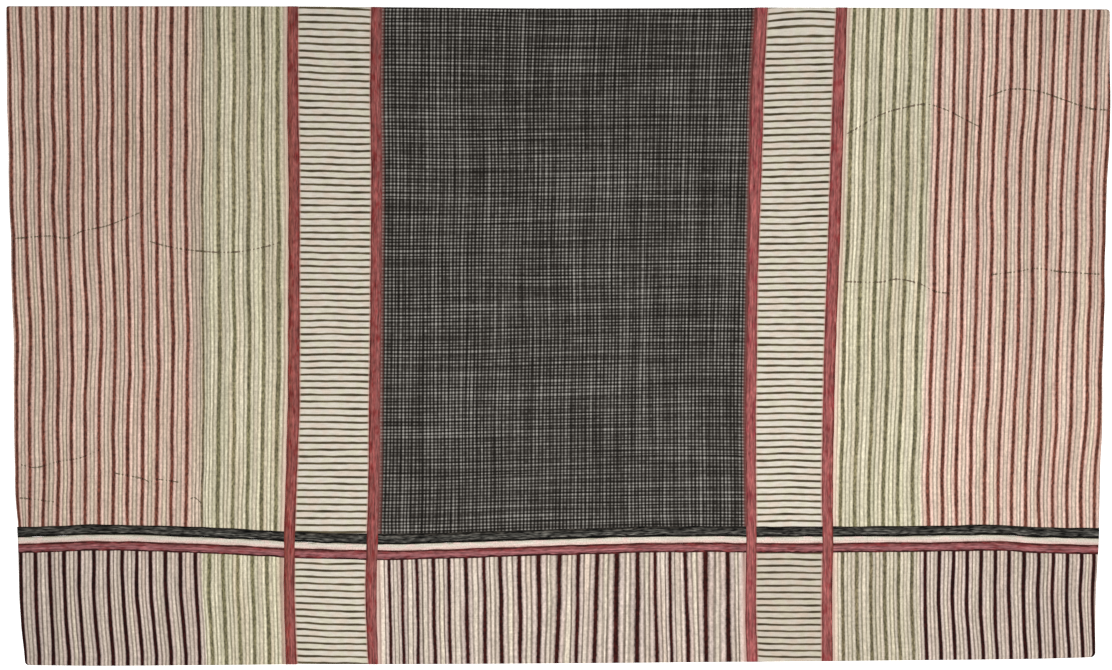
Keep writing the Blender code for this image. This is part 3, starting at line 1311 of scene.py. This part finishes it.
@dataclass(frozen=True)
class WideFan:
    """Upright stripes of the lower middle length, of uneven widths."""

    first_tape_count: float
    last_tape_count: float
    top: float
    drop: float
    seed: int
    first_tape: WideStripe = WideStripe(-190.0, 0.5)
    last_tape: WideStripe = WideStripe(197.0, 1.0)

    def across(self, count: np.ndarray, up: np.ndarray) -> np.ndarray:
        """Where the counts stand across the cloth.

        Args:
            count: Counts of the repeat.
            up: Heights on the cloth, in the same shape.

        Returns:
            Places across, in millimetres.
        """
        inner = range(len(WIDE_STRIPES))
        knots = np.array([self.first_tape_count, *inner, self.last_tape_count], dtype=float)
        stripes = (self.first_tape, *WIDE_STRIPES, self.last_tape)
        places, leans = np.array(stripes).T
        down = (self.top - up) / self.drop
        place = smooth_curve(knots, places, count)
        place = place + down * smooth_curve(knots, leans, count)
        edge = np.minimum(count - self.first_tape_count, self.last_tape_count - count)
        return place + 0.8 * stripe_waver(count, up, self.seed) * np.clip(edge, 0.0, 1.0)

    def end_counts(self, up: np.ndarray) -> tuple[np.ndarray, np.ndarray]:
        """First and last count of the length at each height."""
        return np.full_like(up, self.first_tape_count), np.full_like(up, self.last_tape_count)


@dataclass
class Length:
    """A cut length of the cloth between two upright lines and two crosswise ones."""

    node: str
    slot: str
    finish: object
    low: Line
    high: Line
    hems: tuple[Side, ...] = ()
    thickness: float = 1.0

    def plan(self) -> tuple[np.ndarray, np.ndarray, np.ndarray, np.ndarray]:
        """Place the grid: across, up, and the first two weave coordinates."""
        raise NotImplementedError

    def rise(self, weave_across: np.ndarray, weave_up: np.ndarray) -> np.ndarray:
        """Relief of the weave over the thickness, in millimetres."""
        return np.zeros_like(weave_across)

    def lay(self) -> Lay:
        """Lay the length on the swells, with its edges hemmed or pressed.

        Returns:
            Where its grid lies.
        """
        across, up, weave_across, weave_up = self.plan()
        sides = {
            Side.LEFT: across - across[:, :1],
            Side.RIGHT: across[:, -1:] - across,
            Side.LOW: up - up[:1],
            Side.HIGH: up[-1:] - up,
        }
        share = np.ones_like(across)
        relief = np.ones_like(across)
        for side, distance in sides.items():
            hemmed = side in self.hems
            reach = HEM_REACH if hemmed else PRESS_REACH
            share = share * edge_share(distance, reach, 0.3 if hemmed else 0.6)
            relief = relief * np.clip(distance / reach, 0.0, 1.0)
        under = swell_height(across, up)
        rise = self.rise(weave_across, weave_up) + ripple_height(across, up)
        over = under + self.thickness * share + rise * relief
        tape = self.tape_distance(across, up)
        return Lay(across, up, under, over, np.stack([weave_across, weave_up, tape], axis=2))

    def tape_distance(self, across: np.ndarray, up: np.ndarray) -> np.ndarray:
        """How far each place is from the side of the nearest tape, in millimetres."""
        sides = []
        for tape in TapeWidths._fields[1:]:
            away = np.abs(across - column_curve(UPRIGHTS, tape, up))
            sides.append(away - column_curve(TAPE_WIDTHS, tape, up) / 2)
        return np.stack(sides).min(axis=0)

    def build(self) -> bpy.types.Object:
        """Make the length and dress it.

        Returns:
            The finished piece.
        """
        lay = self.lay()
        piece = dressed(f"{self.node}_cloth", lay, self.finish, self.node)
        return as_sheet(piece, lay)


def dressed(name: str, lay: Lay, finish: object, node: str) -> bpy.types.Object:
    """Sew a piece, dress it, hang it on the root body, and hide the solid that it stands for.

    Args:
        name: The piece's name.
        lay: How it lies.
        finish: The cotton or yarn that it is made of.
        node: The solid that it stands for.

    Returns:
        The finished piece.
    """
    piece = sew_sheet(name, lay)
    piece.data.materials.append(finish.material())
    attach(piece, "root")
    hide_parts(node)
    LOG.info("%s: %d faces", piece.name, len(piece.data.polygons))
    return piece


def as_sheet(piece: bpy.types.Object, lay: Lay) -> bpy.types.Object:
    """Log the size that a sheet of cloth was cut to.

    Args:
        piece: The finished sheet.
        lay: How it lies, which gives its flat size.

    Returns:
        The same piece.
    """
    width, length, area = lay.flat_size()
    LOG.info("%s: cut %.0f by %.1f mm", piece.name, width / MILLIMETRE, length / MILLIMETRE)
    return piece


def between(low: Line, high: Line, share: np.ndarray, across: np.ndarray) -> np.ndarray:
    """Heights at shares of the way between two crosswise lines."""
    floor = low.at(across)
    return floor + share * (high.at(across) - floor)


@dataclass
class StripedLength(Length):
    """A length with upright ribs and stripes."""

    fan: StripeFan | WideFan = None
    corner: float = 0.0

    def plan(self) -> tuple[np.ndarray, np.ndarray, np.ndarray, np.ndarray]:
        """Place the grid along the stripes.

        Returns:
            Places across and up, counts of the repeat, and millimetres up the length.
        """
        middle = np.zeros(1)
        length = float((self.high.at(middle) - self.low.at(middle))[0])
        along = stations(0.0, length, ROW_STEP, (0.5, 1.2, 2.4))
        share = (along / length)[:, None]
        up = between(self.low, self.high, share, np.zeros_like(share))
        first, last = self.fan.end_counts(up)
        counts = stations(float(first.mean()), float(last.mean()), 1.0 / RIB_COLUMNS, (0.03,))
        reach = EDGE_STRETCH + float(max(np.ptp(first), np.ptp(last)))
        count = fitted(counts, first, last, reach)
        share = np.broadcast_to(share, count.shape)
        up = np.broadcast_to(up, count.shape)
        for _ in range(SETTLING_ROUNDS):
            across = self.fan.across(count, up)
            up = between(self.low, self.high, share, across)
        across = self.rounded(across, up)
        return across, up, count, share * length

    def rounded(self, across: np.ndarray, up: np.ndarray) -> np.ndarray:
        """Pull in the cloth's own corner, if the length has one.

        Args:
            across: Places across.
            up: Places up.

        Returns:
            Places across, moved in near the corner.
        """
        if not self.corner:
            return across
        at_head = Side.HIGH in self.hems
        depth = up[-1:] - up if at_head else up - up[:1]
        inside = np.clip(1.0 - depth / self.corner, 0.0, 1.0)
        pull = self.corner * (1.0 - np.sqrt(1.0 - inside**2))
        if Side.LEFT in self.hems:
            return across + pull * np.clip(1.0 - (across - across[:, :1]) / CORNER_REACH, 0.0, 1.0)
        return across - pull * np.clip(1.0 - (across[:, -1:] - across) / CORNER_REACH, 0.0, 1.0)

    def rise(self, weave_across: np.ndarray, weave_up: np.ndarray) -> np.ndarray:
        """Relief of the ribs, in millimetres."""
        plain = repeat_rise(weave_across)
        if not self.finish.dotted:
            return plain
        away = weave_across - self.finish.turn
        return np.where(np.abs(away) < 0.5, turn_rise(np.clip(away, -0.5, 0.5)), plain)


@dataclass
class BarredLength(Length):
    """A narrow cream length between two tapes, with thin crosswise bars."""

    tapes: tuple[str, str] = ("tape_1", "tape_2")
    bars: tuple[Bar, ...] = ()
    seed: int = 0

    def plan(self) -> tuple[np.ndarray, np.ndarray, np.ndarray, np.ndarray]:
        """Place the grid across and up, and find the bars on it.

        Returns:
            Places across and up, millimetres across, and counts of the bars downwards.
        """
        middle = np.zeros(1)
        length = float((self.high.at(middle) - self.low.at(middle))[0])
        shares = stations(0.0, 1.0, 1.0 / 22, (0.012, 0.03))[None, :]
        share_up = stations(0.0, length, BAR_STEP, (0.5, 1.1))[:, None] / length
        shape = (share_up.shape[0], shares.shape[1])
        up = np.zeros(shape)
        for _ in range(SETTLING_ROUNDS):
            left, right = (column_curve(UPRIGHTS, tape, up) for tape in self.tapes)
            across = left + shares * (right - left)
            up = between(self.low, self.high, np.broadcast_to(share_up, shape), across)
        fine = np.linspace(self.bars[0].count, self.bars[-1].count, 900)
        sides = np.stack([column_curve(self.bars, side, fine) for side in Bar._fields[1:]])
        count = np.empty(shape)
        for column, share in enumerate(shares[0]):
            way = smooth_curve(np.array([0.0, 0.5, 1.0]), sides, np.full_like(fine, share))
            count[:, column] = np.interp(-up[:, column], -way, fine)
        count = count + 0.07 * Unevenness(self.seed, 26.0, 5.0).at(across, count)
        return across, up, across - left, count

    def rise(self, weave_across: np.ndarray, weave_up: np.ndarray) -> np.ndarray:
        """Relief of the bars' thicker yarn, in millimetres."""
        away = np.abs(np.mod(weave_up + 0.5, 1.0) - 0.5)
        return BAR_RISE * np.clip(1.0 - away / BAR_HALF_WIDTH, 0.0, 1.0)


@dataclass
class CheckedLength(Length):
    """The wide middle length with a fine check."""

    columns: int = 105
    rows: int = 151
    seed: int = 0

    def plan(self) -> tuple[np.ndarray, np.ndarray, np.ndarray, np.ndarray]:
        """Place the grid along the yarns.

        Returns:
            Places across and up, and the counts of the yarns across and down.
        """
        counts = stations(0.0, float(self.columns), 1.0, (0.3,))[None, :]
        downs = stations(-float(self.rows), 0.0, 1.0, (0.15, 0.3, 0.6))[:, None]
        shape = (downs.shape[0], counts.shape[1])
        column = np.broadcast_to(counts, shape)
        row = np.broadcast_to(-downs, shape)
        share = 1.0 - (row / self.rows) * (1.03 - 0.03 * row / self.rows)
        inner = np.minimum(np.minimum(column, self.columns - column) / 4.0, 1.0)
        inner = inner * np.minimum(np.minimum(row, self.rows - row) / 4.0, 1.0)
        aside = 0.9 * Unevenness(self.seed, 16.0, 24.0).at(column, row)
        aside = aside + 0.4 * Unevenness(self.seed + 1, 1.0, 40.0).at(column, row)
        above = 0.9 * Unevenness(self.seed + 2, 24.0, 16.0).at(column, row)
        above = above + 0.4 * Unevenness(self.seed + 3, 40.0, 1.0).at(column, row)
        share_across = column / self.columns * (1.02 - 0.02 * column / self.columns)
        up = np.zeros(shape)
        for _ in range(SETTLING_ROUNDS):
            left = column_curve(UPRIGHTS, "tape_2", up)
            right = column_curve(UPRIGHTS, "tape_3", up)
            across = left + share_across * (right - left)
            up = between(self.low, self.high, share, across)
        return across + aside * inner, up + above * inner, column, row


@dataclass
class Band:
    """A crosswise band, sewn over the lengths' pressed edges."""

    node: str
    slot: str
    finish: StripCotton
    middle: float
    width: float
    top: float
    seed: int
    own_sheet: bool = True

    def build(self, carried: tuple = ()) -> bpy.types.Object:
        """Make the band and dress it.

        Args:
            carried: Narrower strips that are sewn to it; not used.

        Returns:
            The finished piece.
        """
        along = stations(0.0, 1.0, 1.0 / BAND_CELLS, (0.0005, 0.0012))[None, :]
        half = self.width / 2
        beside = stations(-half, half, STRIP_STEP, STRIP_EDGES)[:, None]
        shape = (beside.shape[0], along.shape[1])
        up = np.full(shape, -210.0)
        for _ in range(SETTLING_ROUNDS):
            left = column_curve(UPRIGHTS, "left_edge", up)
            right = column_curve(UPRIGHTS, "right_edge", up)
            across = left + along * (right - left)
            up = column_curve(CROSSINGS, "join", across) + self.middle + beside
        edge_waver = 0.55 * Unevenness(self.seed, 14.0, 5.0).at(across, np.sign(beside) * 5.0 + 0 * up)
        up = up + edge_waver * np.abs(beside) / half
        ends = np.minimum(across - across[:, :1], across[:, -1:] - across)
        crown = edge_share(half - np.abs(beside) + 0 * up, 1.6, 0.45)
        crown = crown * edge_share(ends, HEM_REACH, 0.4)
        lumps = 0.08 * Unevenness(self.seed + 1, 7.0, 1.4).at(across, beside + 0 * up)
        under = swell_height(across, up)
        over = under + self.top * crown + lumps * crown
        weave = np.stack([beside + 0 * up, across, 0 * up], axis=2)
        lay = Lay(across, up, under, over, weave)
        piece = dressed(f"{self.node}_strip", lay, self.finish, self.node)
        return as_sheet(piece, lay) if self.own_sheet else piece


@dataclass
class Tape:
    """An upright tape, sewn over a join from head to foot."""

    node: str
    slot: str
    finish: StripCotton
    line: str
    seed: int
    rise: float = 0.85

    def build(self) -> bpy.types.Object:
        """Make the tape and dress it.

        Returns:
            The finished piece.
        """
        half = TAPE_WIDTH / 2
        plain = stations(-half, half, STRIP_STEP, STRIP_EDGES)[None, :]
        share = stations(0.0, 1.0, 1.0 / TAPE_CELLS, (0.0008, 0.002))[:, None]
        shape = (share.shape[0], plain.shape[1])
        up = np.zeros(shape)
        for _ in range(SETTLING_ROUNDS):
            beside = plain * column_curve(TAPE_WIDTHS, self.line, up) / TAPE_WIDTH
            across = column_curve(UPRIGHTS, self.line, up) + beside
            up = between(Line("foot"), Line("head"), share, across)
        half = np.abs(beside[:, :1])
        side = np.sign(beside) * 5.0
        across = across + 0.3 * Unevenness(self.seed, 5.0, 12.0).at(side, up) * np.abs(beside) / half
        ends = np.minimum(up - up[:1], up[-1:] - up)
        crown = edge_share(half - np.abs(beside), 2.0, 0.3)
        crown = crown * edge_share(ends, HEM_REACH, 0.3)
        lumps = 0.08 * Unevenness(self.seed + 1, 1.6, 7.0).at(beside, up)
        cloth = swell_height(across, up) + CLOTH_THICKNESS
        over = cloth + 0.1 + (self.rise + lumps) * crown
        weave = np.stack([plain + 0 * up, up, 0 * up], axis=2)
        lay = Lay(across, up, cloth - 0.15, over, weave)
        piece = dressed(f"{self.node}_strip", lay, self.finish, self.node)
        return as_sheet(piece, lay)


BRICK = Colourway("#5E3429", "#C9AC9F", "#79695B", "#C1AF9E", 0.08, 1.5)
PALE_BRICK = Colourway("#5D3429", "#CDAEA1", "#837367", "#CBB9A8", 0.08, 1.6)
OLIVE = Colourway("#6B654B", "#C1B9A2", "#7E7861", "#C5BDA7", 0.088, 1.2)
# A darker copy of OLIVE for the lower right length: painted shade, where that corner of the cloth lies
# darker.
PAINTED_SHADE_OLIVE = Colourway("#655D46", "#B9AF9E", "#766F5A", "#BDB2A0", 0.088, 1.2)
MAROON = Colourway("#260907", "#BAA9A0", "#6A5C52", "#BFB1A4", 0.1, 1.8)
THIN_MAROON = Colourway("#2E0D0A", "#B9A9A0", "#63564B", "#C1B4A6", 0.078, 1.8)


@dataclass
class UpperLengths:
    """The five lengths above the bands."""

    low: Line = field(default_factory=lambda: Line("join", CHARCOAL_WIDTH - TUCK))
    high: Line = field(default_factory=lambda: Line("head"))

    def build(self) -> list[bpy.types.Object]:
        """Make and dress the lengths.

        Returns:
            The finished pieces, from left to right.
        """
        bars = BarredCotton("cream_cotton_with_dark_bars", "#C0B9AD", "#241D10", "#62573F")
        check = CheckedCotton(
            "charcoal_cotton_with_grey_check", "#0E0C09", "#25211D", "#494642", "#918E88"
        )
        left_fan = StripeFan(
            UPPER_LEFT_STRIPES, (0, 1, 3, 6, 12, 13, 14, 18), "tape_1", 19.0, Side.LEFT, 13.4, 101
        )
        right_fan = StripeFan(
            UPPER_RIGHT_STRIPES, (0, 5, 6, 12, 15, 17, 18), "tape_4", -0.93, Side.RIGHT, 14.4, 131
        )
        lines = (self.low, self.high)
        lengths = (
            StripedLength(
                "side_panel_left",
                "brick_stripe",
                StripedCotton("ribbed_cotton_brick_then_olive", BRICK, OLIVE, 13.0, "#625641"),
                *lines,
                (Side.LEFT, Side.HIGH),
                fan=left_fan,
                corner=2.0,
            ),
            BarredLength(
                "barred_panel_left",
                "cream_bars",
                bars,
                *lines,
                (Side.HIGH,),
                bars=UPPER_LEFT_BARS,
                seed=11,
            ),
            CheckedLength(
                "check_panel", "charcoal_check", check, *lines, (Side.HIGH,), seed=21
            ),
            BarredLength(
                "barred_panel_right",
                "cream_bars",
                bars,
                *lines,
                (Side.HIGH,),
                tapes=("tape_3", "tape_4"),
                bars=UPPER_RIGHT_BARS,
                seed=12,
            ),
            StripedLength(
                "side_panel_right",
                "brick_stripe",
                StripedCotton("ribbed_cotton_olive_then_brick", OLIVE, PALE_BRICK, 5.5),
                *lines,
                (Side.RIGHT, Side.HIGH),
                fan=right_fan,
                corner=3.0,
            ),
        )
        pieces = [length.build() for length in lengths]
        yarn = SpunYarn("brown_hand_spun_yarn", "#6C5F4F", "#3C100C", "#4B4530")
        for node, fan, turn, threads in (
            ("side_panel_left", left_fan, 12.5, LEFT_THREADS),
            ("side_panel_right", right_fan, 5.5, RIGHT_THREADS),
        ):
            for number, knots in enumerate(threads, start=1):
                thread = WanderingThread(f"{node}_thread_{number}", knots)
                pieces.append(thread.build(node, fan, turn, yarn))
        return pieces


@dataclass
class LowerLengths:
    """The five shorter lengths below the bands."""

    low: Line = field(default_factory=lambda: Line("foot"))
    high: Line = field(default_factory=lambda: Line("join", TUCK - CREAM_WIDTH - CRIMSON_WIDTH))

    def build(self) -> list[bpy.types.Object]:
        """Make and dress the lengths.

        Returns:
            The finished pieces, from left to right.
        """
        bars = BarredCotton("cream_cotton_with_dark_bars_at_the_foot", "#BFB8AB", "#241D10", "#62573F")
        # A darker copy of the cream barred cotton for the lower right length: painted shade of that
        # corner.
        painted_shade_bars = BarredCotton("cream_cotton_with_dark_bars_painted_shade", "#B3AA9D", "#241D10", "#5E523D")
        left_fan = StripeFan(
            LOWER_LEFT_STRIPES, (0, 1, 6, 10, 12, 13, 17), "tape_1", 18.5, Side.LEFT, 14.5, 151
        )
        right_fan = StripeFan(
            LOWER_RIGHT_STRIPES, (0, 5, 6, 12, 15, 17, 18), "tape_4", -1.1, Side.RIGHT, 14.3, 161
        )
        lines = (self.low, self.high)
        lengths = (
            StripedLength(
                "border_left",
                "maroon_stripe",
                StripedCotton("ribbed_cotton_maroon_then_olive", MAROON, OLIVE, 12.5),
                *lines,
                (Side.LEFT, Side.LOW),
                fan=left_fan,
                corner=4.0,
            ),
            BarredLength(
                "border_barred_left",
                "cream_bars",
                bars,
                *lines,
                (Side.LOW,),
                bars=LOWER_LEFT_BARS,
                seed=13,
            ),
            StripedLength(
                "border_middle",
                "maroon_stripe",
                StripedCotton(
                    "ribbed_cotton_maroon_and_cream", THIN_MAROON, THIN_MAROON, NO_TURN, swell=0.9
                ),
                *lines,
                (Side.LOW,),
                fan=WideFan(-1.1, 20.4, -231.0, 95.0, 171),
            ),
            BarredLength(
                "border_barred_right",
                "cream_bars",
                # The darker barred copy: painted shade of the lower right corner.
                painted_shade_bars,
                *lines,
                (Side.LOW,),
                tapes=("tape_3", "tape_4"),
                bars=LOWER_RIGHT_BARS,
                seed=14,
            ),
            StripedLength(
                "border_right",
                "maroon_stripe",
                # Its olive is the darker copy: painted shade of the lower right corner.
                StripedCotton("ribbed_cotton_olive_then_maroon", PAINTED_SHADE_OLIVE, MAROON, 5.5),
                *lines,
                (Side.RIGHT, Side.LOW),
                fan=right_fan,
                corner=5.5,
            ),
        )
        return [length.build() for length in lengths]


@dataclass
class CrossBands:
    """The three bands that run across the whole cloth."""

    lap: float = 0.5

    def build(self) -> list[bpy.types.Object]:
        """Make and dress the bands.

        Returns:
            The finished pieces, from the top one down.
        """
        charcoal = StripCotton(
            "charcoal_cotton_band",
            ("#080705", "#42403C", "#3B3A36", "#393733", "#211E1A"),
            CHARCOAL_WIDTH,
            edge=0.17,
            seed=3.0,
            spot="#0D0C0A",
            streak=4.2,
            fleck=5.0,
            fleck_length=8.0,
        )
        # The cream band's two outer colours are darker partly as painted shade, where it lies lower
        # between the two raised bands.
        cream = StripCotton(
            "cream_cotton_band",
            ("#A0837A", "#C6AFA5", "#C3B9AD", "#BDB6A8", "#95907F"),
            CREAM_WIDTH,
            edge=0.06,
            seed=5.0,
            spot="#CDB2AA",
            streak=0.5,
            fleck=0.8,
            fleck_length=1.5,
        )
        crimson = StripCotton(
            "crimson_cotton_band",
            ("#301010", "#7D4C4E", "#895557", "#764443", "#411B18"),
            CRIMSON_WIDTH,
            edge=0.15,
            seed=8.0,
            spot="#6E2A2B",
        )
        narrow = Band(
            "cream_band",
            "cream_cotton",
            cream,
            -CREAM_WIDTH / 2,
            CREAM_WIDTH + 2 * self.lap,
            0.95,
            211,
            own_sheet=False,
        )
        upper = Band(
            "charcoal_band", "charcoal_cotton", charcoal, CHARCOAL_WIDTH / 2, CHARCOAL_WIDTH, 1.3, 201
        )
        lower = Band(
            "crimson_band",
            "crimson_cotton",
            crimson,
            -CREAM_WIDTH - CRIMSON_WIDTH / 2,
            CRIMSON_WIDTH + self.lap,
            1.3,
            221,
        )
        strip = narrow.build()
        return [strip, upper.build(carried=(strip,)), lower.build()]


class TapeDye(NamedTuple):
    """The five yarns of one tape, the colour of its patches, and its mottle's seed."""

    place: str
    yarns: tuple[str, str, str, str, str]
    spot: str
    seed: float


TAPE_DYES = (
    TapeDye("outer_left", ("#68312B", "#79433B", "#834844", "#7D4642", "#66302B"), "#6B1F1E", 11.0),
    TapeDye("inner_left", ("#5F2B28", "#7A4440", "#814341", "#7E4A47", "#70403D"), "#6A1A1A", 14.0),
    TapeDye("inner_right", ("#683330", "#8A4F4D", "#8C4C4A", "#864C4A", "#6F3633"), "#7A2B33", 19.0),
    TapeDye("outer_right", ("#6E3633", "#874D4B", "#864846", "#894F4B", "#652F2A"), "#762A2C", 23.0),
)


@dataclass
class UprightTapes:
    """The four upright tapes over the joins."""

    edge: float = 0.1

    def build(self) -> list[bpy.types.Object]:
        """Make and dress the tapes.

        Returns:
            The finished pieces, from left to right.
        """
        pieces = []
        for number, dye in enumerate(TAPE_DYES, start=1):
            node = f"tape_{dye.place}"
            name = f"crimson_cotton_{node}"
            finish = StripCotton(name, dye.yarns, TAPE_WIDTH, self.edge, dye.seed, dye.spot)
            tape = Tape(node, "crimson_cotton", finish, f"tape_{number}", 230 + 10 * number)
            pieces.append(tape.build())
        return pieces


@dataclass
class WanderingThread:
    """A loose hand-spun thread that runs across the ribs, under the pale ones."""

    name: str
    knots: tuple[Knot, ...]
    width: float = 2.5
    height: float = 0.4
    showing: float = 0.19
    bed: float = 1.0

    def build(self, node: str, fan: StripeFan, turn: float, finish: SpunYarn) -> bpy.types.Object:
        """Make the thread and dress it.

        Args:
            node: The solid of the length that it runs over.
            fan: The stripes of that length.
            turn: The count at which the length turns from red to green.
            finish: The thread's finish.

        Returns:
            The finished piece.
        """
        first, last = self.knots[0].across, self.knots[-1].across
        along = stations(first, last, 0.7, (0.1,))[None, :]
        beside = np.linspace(-0.5, 0.5, 5)[:, None]
        middle = column_curve(self.knots, "up", along)
        shape = (beside.shape[0], along.shape[1])
        across = np.broadcast_to(along, shape)
        thick = 1.0 + 0.35 * Unevenness(len(self.knots), 3.0, 3.0).at(across, 0 * across)
        up = middle + beside * self.width * thick
        count = self.counts_below(fan, along[0], middle[0])
        stripe = np.clip(1.6 - np.abs(np.mod(count + 0.5, 1.0) - 0.5) / 0.08, 0.0, 1.0)
        surfacing = self.showing + 0.1 * Unevenness(len(self.knots), 5.0, 5.0).at(along[0], 0 * along[0])
        level = self.bed - self.height + np.maximum(surfacing, stripe * 0.46)
        crown = np.sqrt(np.maximum(0.0, 1.0 - (2.0 * beside) ** 2))
        ground = swell_height(across, up) + ripple_height(across, up)
        over = ground + level + self.height * (0.3 + 0.7 * crown)
        green = (count > turn) == (fan.edge is Side.LEFT)
        weave = np.stack([across, np.broadcast_to(stripe, shape), np.broadcast_to(green, shape)], axis=2)
        lay = Lay(across, up, ground + level, over, weave)
        return dressed(self.name, lay, finish, node)

    def counts_below(self, fan: StripeFan, across: np.ndarray, up: np.ndarray) -> np.ndarray:
        """Which counts of the stripes lie under the thread.

        Args:
            fan: The stripes.
            across: Places across, in order.
            up: Places up.

        Returns:
            The count at each place.
        """
        counts = np.arange(-1.0, 19.5, 0.02)
        found = []
        for x, y in zip(across, up):
            places = fan.across(counts, np.full_like(counts, y))
            found.append(float(np.interp(x, places, counts)))
        return np.array(found)


@dataclass
class Studio:
    """The plain floor, a soft lamp that shines straight down, and the camera above the cloth."""

    lamp_place: tuple[float, float, float] = (0.13, -0.24, 1.4)
    lamp_side: float = 1.2
    lamp_watts: float = 33.5
    view_width: float = 1.134
    camera_height: float = 4.0
    middle: tuple[float, float] = (-0.0024, 0.0006)
    sensor: float = 36.0

    def build(self) -> None:
        """Set up the floor, the lights and the camera."""
        self.floor()
        self.lights()
        self.camera()
        bpy.context.scene.view_settings.view_transform = "Standard"

    def floor(self) -> None:
        """Lay a wide pale floor just under the cloth."""
        shape = bmesh.new()
        bmesh.ops.create_grid(shape, x_segments=2, y_segments=2, size=4.0)
        bmesh.ops.translate(shape, verts=shape.verts[:], vec=(0.0, 0.0, -0.0002))
        mesh = bpy.data.meshes.new("floor")
        shape.to_mesh(mesh)
        shape.free()
        floor = bpy.data.objects.new("floor", mesh)
        bpy.context.scene.collection.objects.link(floor)
        material = bpy.data.materials.new("pale_matt_paper")
        material.use_nodes = True
        shader = material.node_tree.nodes["Principled BSDF"]
        shader.inputs["Base Color"].default_value = linear("#F8F7F5")
        shader.inputs["Roughness"].default_value = 0.95
        shader.inputs["Specular IOR Level"].default_value = 0.1
        shader.inputs["Emission Color"].default_value = linear("#FFFFFF")
        shader.inputs["Emission Strength"].default_value = 0.4
        mesh.materials.append(material)

    def lights(self) -> None:
        """Light the cloth from all round, and more from the lower right."""
        world = bpy.data.worlds.new("pale_studio")
        world.use_nodes = True
        background = world.node_tree.nodes["Background"]
        background.inputs["Color"].default_value = linear("#FFFFFF")
        background.inputs["Strength"].default_value = 0.12
        bpy.context.scene.world = world
        light = bpy.data.lights.new("wide_lamp", "AREA")
        light.size = self.lamp_side
        light.energy = self.lamp_watts
        lamp = bpy.data.objects.new("wide_lamp", light)
        bpy.context.scene.collection.objects.link(lamp)
        lamp.location = self.lamp_place

    def camera(self) -> None:
        """Hang a long-lens camera straight above the cloth."""
        data = bpy.data.cameras.new("camera")
        data.sensor_width = self.sensor
        data.lens = self.sensor * self.camera_height / self.view_width
        data.clip_end = 50.0
        camera = bpy.data.objects.new("camera", data)
        bpy.context.scene.collection.objects.link(camera)
        camera.location = (*self.middle, self.camera_height)
        bpy.context.scene.camera = camera


def main() -> None:
    """Build the cloth's pieces in order, then the studio."""
    logging.basicConfig(level=logging.INFO, format="%(name)s: %(message)s")
    Studio().build()
    pieces = []
    for group in (UpperLengths(), CrossBands(), LowerLengths(), UprightTapes()):
        pieces += group.build()
    LOG.info("%d pieces, %d faces", len(pieces), sum(len(p.data.polygons) for p in pieces))


if __name__ == "__main__":
    main()
